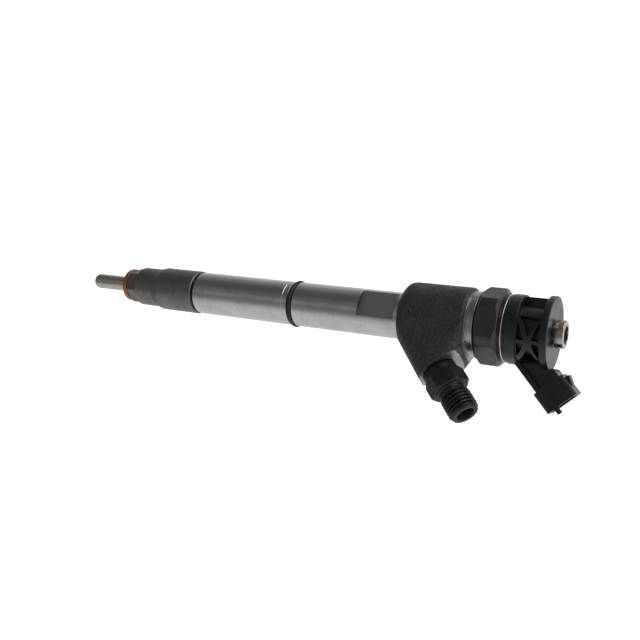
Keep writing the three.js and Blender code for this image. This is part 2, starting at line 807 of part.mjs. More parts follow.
function armatureGuide() {
  let shape = turned([
    [armaturePinRadius + slideGap, armatureFloor - guideSleeveLength],
    [guideSleeveRadius, armatureFloor - guideSleeveLength],
    [guideSleeveRadius, armatureFloor + seatGap],
    [guideRadius, armatureFloor + seatGap],
    [guideRadius, guideFlangeTop],
    [armaturePinRadius + slideGap, guideFlangeTop],
  ]);
  for (const azimuth of [45, 135, 225, 315]) {
    const low = polar(guidePortCircle, azimuth, armatureFloor - overrun);
    const high = polar(guidePortCircle, azimuth, guideFlangeTop + overrun);
    shape = shape.subtract(drill(guidePortRadius, low, high));
  }
  return shape;
}
add("armature_guide", armatureGuide(), "steel");

add(
  "armature_pin",
  turned(
    [
      [0, ballGuideTop + seatGap],
      [armaturePinRadius, ballGuideTop + seatGap],
      [armaturePinRadius, armatureBottom - seatGap],
      [armatureTailRadius, armatureBottom - seatGap],
      [armatureTailRadius, armatureTop + armatureTailReach],
      [0, armatureTop + armatureTailReach],
    ],
  ),
  "steel",
);

function armaturePlate() {
  let shape = ring(armatureTailRadius + slideGap, armatureRadius, armatureBottom, armatureTop);
  for (const turn of [0, 90, 180, 270]) {
    const frame = new THREE.Matrix4().makeRotationZ(THREE.MathUtils.degToRad(turn));
    const across = [-armatureSlotWidth / 2, armatureSlotWidth / 2];
    const along = [armatureSlotInner, armatureRadius + overrun];
    const through = [armatureBottom - overrun, armatureTop + overrun];
    shape = shape.subtract(block(along, across, through, frame));
  }
  return shape;
}
add("armature_plate", armaturePlate(), "darkSteel");

const clipBottom = armatureTop + seatGap;
const clipTop = clipBottom + clipThick;

function armatureClip() {
  const shape = ring(armatureTailRadius + slideGap, clipRadius, clipBottom, clipTop);
  const through = [clipBottom - overrun, clipTop + overrun];
  return shape.subtract(block([0, clipRadius + overrun], [-clipThick, clipThick], through));
}
add("armature_clip", armatureClip(), "springSteel");

add(
  "lift_shim",
  ring(
    guideRadius - liftShimWall,
    guideRadius,
    guideFlangeTop + seatGap,
    guideFlangeTop + seatGap + liftShimLength,
  ),
  "steel",
);

// ---------------------------------------------------------------- magnet

const springSeatHeight = clipTop + seatGap + magnetSpringLength + seatGap;
const coilTop = coreBottom + coilSlotLength;

function magnetCore() {
  const grooveMiddle = coreBottom + magnetRingHeight;
  const grooveFloorRadius = armatureBoreRadius - magnetRingWire - 2 * magnetRingGap;
  let shape = turned([
    [coilSlotOuter, coreBottom],
    [coreRadius, coreBottom],
    [coreRadius, grooveMiddle - magnetRingGroove / 2],
    [grooveFloorRadius, grooveMiddle - magnetRingGroove / 2],
    [grooveFloorRadius, grooveMiddle + magnetRingGroove / 2],
    [coreRadius, grooveMiddle + magnetRingGroove / 2],
    [coreRadius, coreTop],
    [coreVentRadius, coreTop],
    [coreVentRadius, springSeatHeight + adjustShimThick + seatGap],
    [coreBoreRadius, springSeatHeight + adjustShimThick + seatGap],
    [coreBoreRadius, coreBottom],
    [coilSlotInner, coreBottom],
    [coilSlotInner, coilTop],
    [coilSlotOuter, coilTop],
  ]);
  for (const azimuth of [90, 270]) {
    const low = polar(coilLeadCircle, azimuth, coilTop - overrun);
    const high = polar(coilLeadCircle, azimuth, coreTop + overrun);
    shape = shape.subtract(drill(coilLeadRadius + 0.3, low, high));
  }
  return shape;
}
add("magnet_core", magnetCore(), "darkSteel");

const bobbin = {
  inner: coilSlotInner + bobbinGap,
  outer: coilSlotOuter - bobbinGap,
  low: coreBottom + 2 * bobbinGap,
  high: coilTop - bobbinGap,
};

add(
  "coil_bobbin",
  turned([
    [bobbin.inner, bobbin.low],
    [bobbin.outer, bobbin.low],
    [bobbin.outer, bobbin.low + bobbinWall],
    [bobbin.inner + bobbinWall, bobbin.low + bobbinWall],
    [bobbin.inner + bobbinWall, bobbin.high - bobbinWall],
    [bobbin.outer, bobbin.high - bobbinWall],
    [bobbin.outer, bobbin.high],
    [bobbin.inner, bobbin.high],
  ]),
  "plastic",
);

add(
  "coil_winding",
  ring(
    bobbin.inner + bobbinWall + seatGap,
    bobbin.outer - 0.1,
    bobbin.low + bobbinWall + seatGap,
    bobbin.high - bobbinWall - seatGap,
  ),
  "copper",
);

[90, 270].forEach((azimuth, index) => {
  const low = polar(coilLeadCircle, azimuth, bobbin.high + seatGap);
  const high = polar(coilLeadCircle, azimuth, coreTop + coilLeadReach);
  add(`coil_lead_${index + 1}`, drill(coilLeadRadius, low, high), "tin");
});

add(
  "solenoid_spring",
  coilSpring(
    magnetSpringRadius,
    magnetSpringWire,
    clipTop + seatGap,
    clipTop + seatGap + magnetSpringLength,
    springTurns,
  ),
  "springSteel",
);

add(
  "spring_adjusting_shim",
  ring(
    adjustShimBore,
    coreBoreRadius - fitGap,
    springSeatHeight,
    springSeatHeight + adjustShimThick,
  ),
  "steel",
);

add(
  "magnet_o_ring",
  oRing(armatureBoreRadius - magnetRingWire - magnetRingGap, magnetRingWire, coreBottom + magnetRingHeight),
  "rubber",
);

add(
  "magnet_sleeve",
  turned([
    [sleeveBore, sleeveBottom],
    [sleeveFlangeRadius, sleeveBottom],
    [sleeveFlangeRadius, sleeveBottom + sleeveFlangeThick],
    [sleeveRadius, sleeveBottom + sleeveFlangeThick],
    [sleeveRadius, sleeveTop],
    [sleeveBore, sleeveTop],
  ]),
  "steel",
);

// ---------------------------------------------------------------- solenoid nut and backing ring

function solenoidNut() {
  const turnedBody = turned([
    [0, solenoidNutBottom],
    [solenoidNutHex / 2 - 0.3, solenoidNutBottom],
    [solenoidNutTurned, solenoidNutBottom + solenoidNutChamfer],
    [solenoidNutTurned, solenoidNutTop - solenoidNutChamfer],
    [solenoidNutHex / 2 - 0.3, solenoidNutTop],
    [0, solenoidNutTop],
  ], outerFacets);
  const low = solenoidNutBottom - overrun;
  const high = solenoidNutTop + overrun;
  const flats = hexBar(solenoidNutHex, low, high, solenoidNutTurn);
  const bore = turned([
    [0, low],
    [bodyTopThreadRadius + fitGap, low],
    [bodyTopThreadRadius + fitGap, solenoidNutSeat],
    [sleeveRadius + 2 * fitGap, solenoidNutSeat],
    [sleeveRadius + 2 * fitGap, high],
    [0, high],
  ], outerFacets);
  return turnedBody.intersect(flats).subtract(bore);
}
add("solenoid_nut", solenoidNut(), "darkSteel");

add(
  "backing_ring",
  ring(sleeveRadius + fitGap, backingRingRadius, backingBottom, backingBottom + backingRingThick),
  "tin",
);

// ---------------------------------------------------------------- plastic cap with its connector

// A wedge from the axis outwards, between two azimuths, that cuts sectors out of the cage.
function sector(from, to, low, high) {
  const reach = 2 * capDiscRadius;
  const middle = (from + to) / 2;
  const shape = new THREE.Shape();
  shape.moveTo(0, 0);
  for (const azimuth of [from, middle, to]) {
    const corner = polar(reach, azimuth, 0);
    shape.lineTo(corner.x, corner.y);
  }
  const wedge = new THREE.ExtrudeGeometry(shape, { depth: high - low, bevelEnabled: false });
  return solid(wedge.translate(0, 0, low));
}

// A three-cornered window in the cage's wall, given as [azimuth, height] corners.
function cageWindow(corners) {
  const points = [];
  for (const [azimuth, height] of corners) {
    points.push(polar(capPocketRadius, azimuth, height));
    points.push(polar(capCageRadius + 1.5, azimuth, height));
  }
  return hull(points);
}

// The six windows of one side panel, between a crossed lattice and a middle bar.
function panelWindows(middle, mirror) {
  const low = skirtTop + 0.4;
  const high = cageTop - 0.5;
  const centre = (low + high) / 2;
  const below = centre - latticeHalf;
  const above = centre + latticeHalf;
  const at = (turn) => middle + mirror * turn;
  return [
    [[at(-42), low + 0.5], [at(-42), high - 0.5], [at(-11), centre]],
    [[at(44), low + 0.5], [at(41), high - 0.5], [at(9), centre]],
    [[at(-32), low], [at(-3), low], [at(-3), below]],
    [[at(34), low], [at(3), low], [at(3), below]],
    [[at(-35), high], [at(-3), high], [at(-3), above]],
    [[at(37), high], [at(3), high], [at(3), above]],
  ];
}

function cageShape() {
  let cage = ring(capHubRadius - 0.5, capCageRadius, skirtTop - 0.5, cageTop + 0.5);
  const hubRoom = ring(capHubRadius, capDiscRadius, skirtTop, cageTop);
  for (const side of [-1, 1]) {
    const middle = snoutAzimuth + side * cagePanelTurn;
    const edge = snoutAzimuth + side * (cagePanelTurn + cagePanelHalf);
    const opposite = snoutAzimuth + side * 180;
    const pocket = hubRoom.intersect(sector(edge, opposite - side * cageBarHalf, skirtTop, cageTop));
    cage = cage.subtract(pocket);
    for (const corners of panelWindows(middle, side)) cage = cage.subtract(cageWindow(corners));
  }
  return cage;
}

function snoutShape() {
  const { wide, thick, corner, flange, recess } = snoutNeck;
  const neck = roundedBar(wide, thick, corner, snoutStart, neckEnd + overrun / 2, snoutFrame);
  const mouth = roundedBar(shroud.wide, shroud.thick, shroud.corner, neckEnd, shroud.end, snoutFrame);
  const rib = block(
    [keyRib.place - keyRib.wide / 2, keyRib.place + keyRib.wide / 2],
    [-shroud.thick / 2 - keyRib.proud, -shroud.thick / 2 + overrun],
    [keyRib.start, keyRib.end],
    snoutFrame,
  );
  const wedge = new THREE.Shape();
  wedge.moveTo(-shroud.wide / 2 + 0.5, latchWedge.start);
  wedge.lineTo(-shroud.wide / 2 - latchWedge.proud, latchWedge.start + 0.3);
  wedge.lineTo(-shroud.wide / 2 - 0.1, latchWedge.end);
  wedge.lineTo(-shroud.wide / 2 + 0.5, latchWedge.end);
  const latch = new THREE.ExtrudeGeometry(wedge, { depth: latchWedge.wide, bevelEnabled: false });
  latch.translate(0, 0, -latchWedge.wide / 2).rotateX(Math.PI / 2);
  let snout = neck.add(mouth).add(rib).add(solid(latch, snoutFrame));
  const web = [flange - wide / 2, wide / 2 - flange];
  for (const side of [-1, 1]) {
    const depth = [thick / 2 - recess, thick].map((value) => side * value).sort((a, b) => a - b);
    const along = [snoutStart - overrun, neckEnd - 0.6];
    snout = snout.subtract(block(web, depth, along, snoutFrame));
  }
  return snout;
}

function snoutCavity() {
  const wide = shroud.wide - 2 * shroud.wall;
  const thick = shroud.thick - 2 * shroud.wall;
  const mouth = roundedBar(wide, thick, shroud.corner / 2, shroud.floor, shroud.end + 5, snoutFrame);
  const deep = roundedBar(well.wide, well.thick, well.corner, well.floor, shroud.floor + overrun, snoutFrame);
  return mouth.add(deep);
}

function terminalBlade(index, gap) {
  const middle = (index - 0.5) * terminal.pitch;
  return block(
    [middle - terminal.wide / 2 - gap, middle + terminal.wide / 2 + gap],
    [-terminal.thick / 2 - gap, terminal.thick / 2 + gap],
    [terminal.start - gap, terminal.end],
    snoutFrame,
  );
}

function connectorCap() {
  const outside = turned([
    [0, capBottom],
    [capRimRadius, capBottom],
    [capRimRadius, capBottom + capRimLength - 0.3],
    [capRadius, capBottom + capRimLength],
    [capRadius, skirtTop],
    [capHubRadius, skirtTop],
    [capHubRadius, cageTop],
    [capDiscRadius, cageTop],
    [capDiscRadius, capTop - 0.3],
    [capDiscRadius - 0.3, capTop],
    [0, capTop],
  ], outerFacets);
  const bore = turned([
    [0, capBottom - overrun],
    [sleeveRadius + fitGap, capBottom - overrun],
    [sleeveRadius + fitGap, capBoreTop],
    [nippleTubeRadius + fitGap, capBoreTop],
    [nippleTubeRadius + fitGap, capTop + overrun],
    [0, capTop + overrun],
  ], outerFacets);
  const overDisc = rod(capDiscRadius, capTop, capTop + capDiscRadius, outerFacets);
  const snout = snoutShape().subtract(overDisc);
  let cap = outside.add(cageShape()).add(snout).subtract(snoutCavity()).subtract(bore);
  for (const index of [0, 1]) cap = cap.subtract(terminalBlade(index, slantGap / 2));
  return cap;
}

add("connector_cap", connectorCap(), "plastic");

for (const index of [0, 1]) add(`terminal_${index + 1}`, terminalBlade(index, 0), "tin");

// ---------------------------------------------------------------- return nipple

const footBottom = sleeveTop - seatGap - nippleFootThick;
add(
  "return_nipple",
  turned([
    [nippleBore, footBottom],
    [nippleFootRadius, footBottom],
    [nippleFootRadius, footBottom + nippleFootThick],
    [nippleTubeRadius, footBottom + nippleFootThick],
    [nippleTubeRadius, capTop + seatGap],
    [nippleGrooveRadius, capTop + seatGap],
    [nippleGrooveRadius, capTop + nippleGrooveLength],
    [nippleRadius, capTop + nippleGrooveLength + 0.3],
    [nippleRadius, nippleTop - edge],
    [nippleRadius - edge, nippleTop],
    [nippleBore + 0.3, nippleTop],
    [nippleBore, nippleTop - 0.5],
  ]),
  "steel",
);

// ---------------------------------------------------------------- high-pressure inlet

const portFloor = bossFace - portDepth;
const shankEnd = portFloor + 2 * slantGap + inletSealThick;

const sealLow = portFloor + slantGap;
const sealHigh = sealLow + inletSealThick;
add(
  "inlet_seal_ring",
  ring(inletBoreRadius, portRadius - 0.2, sealLow, sealHigh, innerFacets, inletFrame),
  "copper",
);

function inletConnector() {
  const hexBite = 0.1;
  const hexCorner = inletHex / 2 / Math.cos(Math.PI / 6);
  const threadOutline = [];
  for (let turn = 0; turn < threadTurns; turn++) {
    const low = threadStart + turn * threadPitch;
    threadOutline.push([threadRadius - threadDepth, low], [threadRadius, low + threadPitch / 2]);
  }
  const threadEnd = threadStart + threadTurns * threadPitch;
  const outside = turned(
    [
      [0, shankEnd],
      [portRadius, shankEnd],
      [portRadius, bossFace + slantGap],
      [collarRadius, bossFace + slantGap],
      [collarRadius, bossFace + slantGap + collarLength],
      [hexCorner, inletHexStart + 2 * edge],
      [hexCorner, inletHexEnd - 2 * edge],
      [inletHex / 2 - edge / 2, inletHexEnd],
      [inletNeckRadius, inletHexEnd + 1],
      ...threadOutline,
      [threadRadius - threadDepth, threadEnd],
      [inletFaceRadius, inletEnd],
      [0, inletEnd],
    ],
    innerFacets,
    inletFrame,
  );
  const flats = hexBar(inletHex, inletHexStart, inletHexEnd, inletHexTurn, inletFrame);
  const around = collarRadius + 3;
  const below = rod(around, shankEnd - overrun, inletHexStart + hexBite, innerFacets, inletFrame);
  const beyond = rod(around, inletHexEnd - hexBite, inletEnd + overrun, innerFacets, inletFrame);
  const bore = turned(
    [
      [0, shankEnd - overrun],
      [inletBoreRadius, shankEnd - overrun],
      [inletBoreRadius, inletEnd - inletMouthDepth],
      [inletMouthRadius, inletEnd],
      [inletMouthRadius, inletEnd + overrun],
      [0, inletEnd + overrun],
    ],
    innerFacets,
    inletFrame,
  );
  return outside.intersect(flats.add(below).add(beyond)).subtract(bore);
}
add("inlet_connector", inletConnector(), "blackOxide");

function inletFilter() {
  const low = shankEnd + filterSetback;
  let shape = rod(filterRadius, low, low + filterLength, innerFacets, inletFrame);
  for (let i = 0; i < filterGrooves; i++) {
    const turn = new THREE.Matrix4().makeRotationZ((2 * Math.PI * i) / filterGrooves);
    const frame = inletFrame.clone().multiply(turn);
    const depth = [filterGrooveFloor, filterRadius + overrun];
    const along = [low + filterCollar, low + filterLength + overrun];
    shape = shape.subtract(block(depth, [-filterGrooveHalf, filterGrooveHalf], along, frame));
  }
  return shape;
}
add("inlet_filter", inletFilter(), "steel");

export default injector;
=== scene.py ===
# The looks of a common-rail diesel injector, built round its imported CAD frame. Metres, +Z up the injector.
import math

import bmesh
import bpy
from mathutils import Matrix, Vector


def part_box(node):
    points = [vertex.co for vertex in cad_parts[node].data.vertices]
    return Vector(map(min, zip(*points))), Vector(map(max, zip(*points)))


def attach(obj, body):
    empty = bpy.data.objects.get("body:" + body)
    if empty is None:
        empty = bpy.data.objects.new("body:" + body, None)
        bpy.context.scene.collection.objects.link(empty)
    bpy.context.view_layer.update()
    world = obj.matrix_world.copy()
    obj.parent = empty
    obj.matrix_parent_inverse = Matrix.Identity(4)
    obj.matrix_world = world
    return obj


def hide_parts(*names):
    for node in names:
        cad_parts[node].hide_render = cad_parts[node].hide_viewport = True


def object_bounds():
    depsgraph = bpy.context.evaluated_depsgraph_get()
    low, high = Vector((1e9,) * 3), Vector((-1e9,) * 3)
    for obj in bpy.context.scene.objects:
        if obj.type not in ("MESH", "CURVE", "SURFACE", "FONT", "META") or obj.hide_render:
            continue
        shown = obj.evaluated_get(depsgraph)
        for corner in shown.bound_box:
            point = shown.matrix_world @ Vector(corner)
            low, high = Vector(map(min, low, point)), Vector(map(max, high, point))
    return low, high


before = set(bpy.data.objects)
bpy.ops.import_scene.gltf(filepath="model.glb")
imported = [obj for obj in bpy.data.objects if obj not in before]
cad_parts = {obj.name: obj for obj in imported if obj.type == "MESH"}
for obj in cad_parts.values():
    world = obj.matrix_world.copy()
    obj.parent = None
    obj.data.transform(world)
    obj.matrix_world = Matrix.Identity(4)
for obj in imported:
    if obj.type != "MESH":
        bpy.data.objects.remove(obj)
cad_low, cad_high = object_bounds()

# ---------------------------------------------------------------- sealing washer
# A ring of soft copper, punched from sheet and tumbled, so its edges are round. The retaining nut crushes it
# on the seat in the cylinder head. It is turned dull and pink-brown by the air.

mm = 0.001


def rounded(corners, steps=5):
    """The outline through corners of (across, up, fillet), with an arc wherever a fillet isn't 0."""
    points = []
    for i, (across, up, fillet) in enumerate(corners):
        corner = Vector((across, up))
        if not fillet:
            points.append(corner)
            continue
        back = (Vector(corners[i - 1][:2]) - corner).normalized()
        ahead = (Vector(corners[(i + 1) % len(corners)][:2]) - corner).normalized()
        half = back.angle(ahead) / 2
        centre = corner + (back + ahead).normalized() * fillet / math.sin(half)
        first = corner + back * fillet / math.tan(half) - centre
        turn = first.angle_signed(corner + ahead * fillet / math.tan(half) - centre)
        for step in range(steps + 1):
            points.append(centre + Matrix.Rotation(-turn * step / steps, 2) @ first)
    return points


def placed(name, shape, place=Matrix()):
    """A new object from a bmesh, in the scene."""
    bmesh.ops.recalc_face_normals(shape, faces=shape.faces)
    piece = bpy.data.objects.new(name, bpy.data.meshes.new(name))
    shape.to_mesh(piece.data)
    shape.free()
    piece.matrix_world = place
    bpy.context.scene.collection.objects.link(piece)
    return piece


def turned(name, corners, place=Matrix(), sides=144):
    """A lathe's work: the closed outline of (radius, height, fillet) corners, turned round Z."""
    shape = bmesh.new()
    rings = []
    for radius, height in rounded(corners):
        around = [2 * math.pi * i / sides for i in range(sides if radius > 0 else 1)]
        rings.append([shape.verts.new((radius * math.cos(a), radius * math.sin(a), height)) for a in around])
    for ring, above in zip(rings, rings[1:] + rings[:1]):
        for i in range(sides):
            here, ahead = [ring[j % len(ring)] for j in (i, i + 1)]
            top, top_ahead = [above[j % len(above)] for j in (i, i + 1)]
            face = list(dict.fromkeys([here, ahead, top_ahead, top]))
            if len(face) > 2:
                shape.faces.new(face)
    return placed(name, shape, place)


def settle(piece):
    """Makes a piece's modifiers part of its mesh."""
    bpy.context.view_layer.update()
    seen = piece.evaluated_get(bpy.context.evaluated_depsgraph_get())
    mesh = bpy.data.meshes.new_from_object(seen)
    piece.modifiers.clear()
    piece.data = mesh
    mesh.name = piece.name


def fit(piece, slot, look, *nodes, crease=32, body="root"):
    """Shades a finished piece, gives it its material, and puts it on its body in place of its CAD nodes."""
    shape = bmesh.new()
    shape.from_mesh(piece.data)
    bmesh.ops.remove_doubles(shape, verts=shape.verts, dist=0.0005 * mm)
    for face in shape.faces:
        face.smooth = True
    for edge in shape.edges:
        edge.smooth = edge.calc_face_angle(0) < math.radians(crease)
    shape.to_mesh(piece.data)
    shape.free()
    level = piece.modifiers.new("level", "WEIGHTED_NORMAL")
    level.keep_sharp = True
    settle(piece)
    if look is not None:
        piece.data.materials.clear()
        piece.data.materials.append(look)
    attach(piece, body)
    if nodes:
        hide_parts(*nodes)


def node(tree, kind, settings={}, feeds={}):
    """A shader node with its settings; a feed is a value for one of its sockets, or a socket to link."""
    made = tree.nodes.new("ShaderNode" + kind)
    for name, value in settings.items():
        setattr(made, name, value)
    for socket, value in feeds.items():
        if isinstance(value, bpy.types.NodeSocket):
            tree.links.new(value, made.inputs[socket])
        else:
            made.inputs[socket].default_value = value
    return made


def effect(name, inputs, outputs):
    """A node group for an effect that several materials share, with its input and output nodes."""
    group = bpy.data.node_groups.new(name, "ShaderNodeTree")
    for socket, value in inputs.items():
        made = group.interface.new_socket(socket, in_out="INPUT", socket_type="NodeSocketFloat")
        made.default_value = value
    for socket in outputs:
        group.interface.new_socket(socket, in_out="OUTPUT", socket_type="NodeSocketFloat")
    return group, group.nodes.new("NodeGroupInput"), group.nodes.new("NodeGroupOutput")


def turning_marks():
    """Fine rings round the piece's own Z axis, on its sides and on its end faces. They waver a little."""
    group, given, result = effect("turning_marks", {"Spacing": 0.2 * mm, "Waver": 0.3}, ["Marks"])
    at = node(group, "TexCoord").outputs["Object"]
    part = node(group, "SeparateXYZ", {}, {0: at})
    flat = node(group, "CombineXYZ", {}, {0: part.outputs[0], 1: part.outputs[1]})
    radius = node(group, "VectorMath", {"operation": "LENGTH"}, {0: flat.outputs[0]}).outputs["Value"]
    rows = []
    for run in (radius, part.outputs[2]):
        rows.append(node(group, "Math", {"operation": "DIVIDE"}, {0: run, 1: given.outputs["Spacing"]}))
    sway = []
    for run in (part.outputs[0], part.outputs[1]):
        cells = node(group, "Math", {"operation": "DIVIDE"}, {0: run, 1: 5 * mm})
        feeds = {0: cells.outputs[0], 1: given.outputs["Waver"]}
        sway.append(node(group, "Math", {"operation": "MULTIPLY"}, feeds))
    spot = node(group, "CombineXYZ", {},
                {0: rows[0].outputs[0], 1: rows[1].outputs[0], 2: sway[0].outputs[0]})
    rings = node(group, "TexNoise", {"noise_dimensions": "4D"},
                 {"Vector": spot.outputs[0], "W": sway[1].outputs[0], "Scale": 1, "Detail": 3,
                  "Roughness": 0.65})
    spread = node(group, "MapRange", {}, {0: rings.outputs[0], 1: 0.3, 2: 0.7})
    group.links.new(spread.outputs[0], result.inputs["Marks"])
    return group


def stains():
    """Soft clouds of handling, oil and tarnish, with smaller smears in them."""
    group, given, result = effect("stains", {"Size": 8 * mm}, ["Stain"])
    at = node(group, "TexCoord").outputs["Object"]
    cells = node(group, "Math", {"operation": "DIVIDE"}, {0: 1, 1: given.outputs["Size"]})
    clouds = node(group, "TexNoise", {}, {"Vector": at, "Scale": cells.outputs[0], "Detail": 5,
                                          "Roughness": 0.62, "Distortion": 0.6})
    spread = node(group, "MapRange", {"interpolation_type": "SMOOTHSTEP"},
                  {0: clouds.outputs[0], 1: 0.32, 2: 0.68})
    group.links.new(spread.outputs[0], result.inputs["Stain"])
    return group


def edge_wear():
    """Where a piece turns a corner: rubbed by handling, in patches."""
    group, given, result = effect("edge_wear", {"Width": 0.3 * mm}, ["Wear"])
    soft = node(group, "Bevel", {"samples": 5}, {"Radius": given.outputs["Width"]})
    true = node(group, "NewGeometry")
    same = node(group, "VectorMath", {"operation": "DOT_PRODUCT"},
                {0: soft.outputs[0], 1: true.outputs["Normal"]})
    edge = node(group, "MapRange", {}, {0: same.outputs["Value"], 1: 0.99, 2: 0.86})
    at = node(group, "TexCoord").outputs["Object"]
    patch = node(group, "TexNoise", {}, {"Vector": at, "Scale": 1 / (1.5 * mm), "Detail": 3})
    rubbed = node(group, "MapRange", {}, {0: patch.outputs[0], 1: 0.38, 2: 0.6})
    wear = node(group, "Math", {"operation": "MULTIPLY"}, {0: edge.outputs[0], 1: rubbed.outputs[0]})
    group.links.new(wear.outputs[0], result.inputs["Wear"])
    return group


rings_of_the_tool = turning_marks()
handling_stains = stains()
rubbed_edges = edge_wear()


def coat(name, roughness, metallic=1.0):
    """A material with its shader, ready for the nodes that feed it."""
    look = bpy.data.materials.new(name)
    look.use_nodes = True
    tree = look.node_tree
    shader = tree.nodes["Principled BSDF"]
    shader.inputs["Roughness"].default_value = roughness
    shader.inputs["Metallic"].default_value = metallic
    return look, tree, shader


def shared(tree, group, **values):
    """One of the shared effects in a material, with the material's own values."""
    made = tree.nodes.new("ShaderNodeGroup")
    made.node_tree = group
    for name, value in values.items():
        made.inputs[name].default_value = value
    return made.outputs


def blend_of(tree, amount, first, second):
    made = node(tree, "Mix", {"data_type": "RGBA"}, {0: amount, 6: first, 7: second})
    return made.outputs[2]


def machined(name, colour, dull, roughness, spacing=0.2 * mm, depth=0.004 * mm, waver=0.3, spots=8 * mm,
             metallic=1.0, rubbed=None, rubbed_width=0.25 * mm):
    """Metal that was turned or ground: rings from the tool, cloudy stains, and edges rubbed bright."""
    look, tree, shader = coat(name, roughness, metallic)
    marks = shared(tree, rings_of_the_tool, Spacing=spacing, Waver=waver)["Marks"]
    stain = shared(tree, handling_stains, Size=spots)["Stain"]
    mixed = node(tree, "Mix", {}, {0: 0.6, 2: marks, 3: stain}).outputs[0]
    tone = blend_of(tree, mixed, (*colour, 1), (*dull, 1))
    gloss = node(tree, "MapRange", {}, {0: mixed, 3: roughness * 0.8, 4: roughness * 1.3}).outputs[0]
    if rubbed:
        wear = shared(tree, rubbed_edges, Width=rubbed_width)["Wear"]
        tone = blend_of(tree, wear, tone, (*rubbed, 1))
    tree.links.new(tone, shader.inputs["Base Color"])
    tree.links.new(gloss, shader.inputs["Roughness"])
    bump = node(tree, "Bump", {}, {"Strength": 0.5, "Distance": depth, "Height": marks})
    tree.links.new(bump.outputs[0], shader.inputs["Normal"])
    return look


washer_low, washer_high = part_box("sealing_washer")
shank_radius = 3.5 * mm
washer_edge = 0.3 * mm
washer = turned("sealing_washer", [
    (shank_radius + 0.12 * mm, washer_low.z, washer_edge),
    (washer_high.x, washer_low.z, washer_edge),
    (washer_high.x, washer_high.z, washer_edge),
    (shank_radius + 0.12 * mm, washer_high.z, washer_edge),
])
tarnished_copper = machined("tarnished_copper", (0.62, 0.27, 0.16), (0.36, 0.16, 0.11), 0.38,
                            spacing=0.5 * mm, spots=2.5 * mm, rubbed=(0.75, 0.38, 0.26))
fit(washer, "copper", tarnished_copper, "sealing_washer")

# ---------------------------------------------------------------- nozzle
# Hardened steel, ground all over: a slim shank that stands in the cylinder, a rounded cone, and the small
# dome that the spray holes are drilled through. Its thick upper part is held inside the retaining nut.

nozzle_low, nozzle_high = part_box("nozzle_body")
seat_half_angle = math.radians(30)
stem_bore = 1.9 * mm
sac_radius = 0.45 * mm
dome_radius = 1.3 * mm
dome_length = 0.8 * mm
tip_cone = 1.6 * mm
cone_start = 7.4 * mm
cone_end = 10.6 * mm
gallery_low = 11.8 * mm
gallery_high = 14 * mm
gallery_radius = 3 * mm
guide_bore = 2.05 * mm
shank_end = nozzle_low.z + dome_length + tip_cone
seat_top = shank_end + tip_cone
sac_top = seat_top - (stem_bore - sac_radius) / math.tan(seat_half_angle)
nozzle = turned("nozzle", [
    (0, nozzle_low.z, 0),
    (dome_radius * 0.85, nozzle_low.z, 0.55 * mm),
    (dome_radius, nozzle_low.z + dome_length, 0.15 * mm),
    (dome_radius + 0.35 * mm, nozzle_low.z + dome_length, 0.12 * mm),
    (shank_radius - 0.5 * mm, shank_end - 0.75 * mm, 0.5 * mm),
    (shank_radius, shank_end + 0.2 * mm, 0.4 * mm),
    (shank_radius, cone_start, 0.2 * mm),
    (nozzle_high.x, cone_end, 0.3 * mm),
    (nozzle_high.x, nozzle_high.z, 0.2 * mm),
    (guide_bore, nozzle_high.z, 0.1 * mm),
    (guide_bore, gallery_high, 0),
    (gallery_radius, gallery_high - 0.7 * mm, 0.2 * mm),
    (gallery_radius, gallery_low + 0.7 * mm, 0.2 * mm),
    (stem_bore, gallery_low, 0),
    (stem_bore, seat_top, 0),
    (sac_radius, sac_top, 0),
    (sac_radius, sac_top - 0.4 * mm, 0.15 * mm),
    (0, sac_top - 0.5 * mm, 0),
], sides=96)


def carve(piece, tool, how="DIFFERENCE"):
    """Cuts a piece with a tool, or joins or trims it with one. The tool is used up."""
    cut = piece.modifiers.new("cut", "BOOLEAN")
    cut.operation = how
    cut.solver = "EXACT"
    cut.object = tool
    settle(piece)
    bpy.data.objects.remove(tool)


def aimed(start, along):
    """The frame of a tool that stands at start and points along a direction."""
    return Matrix.Translation(start) @ along.to_track_quat("Z", "Y").to_matrix().to_4x4()


spray_holes = 8
spray_radius = 0.09 * mm
for i in range(spray_holes):
    way = Matrix.Rotation(2 * math.pi * i / spray_holes, 3, "Z") @ Vector((1, 0, -0.35))
    start = Vector((0, 0, nozzle_low.z + 0.75 * mm)) + way.normalized() * dome_radius * 0.55
    drill = turned("drill", [(0, 0, 0), (spray_radius, 0, 0), (spray_radius, 2 * mm, 0), (0, 2 * mm, 0)],
                   aimed(start, way), sides=10)
    carve(nozzle, drill)
nozzle_steel = machined("nozzle_steel", (0.60, 0.565, 0.52), (0.44, 0.41, 0.37), 0.25, spacing=0.12 * mm,
                        spots=3.5 * mm, rubbed=(0.62, 0.58, 0.53))
fit(nozzle, "nozzle_steel", nozzle_steel, "nozzle_body")

# ---------------------------------------------------------------- retaining nut
# Turned from bar and phosphated a satin dark grey. It screws onto the body and clamps the nozzle to it. The
# spanner flats are milled at the nozzle end, and end against the thicker middle part.

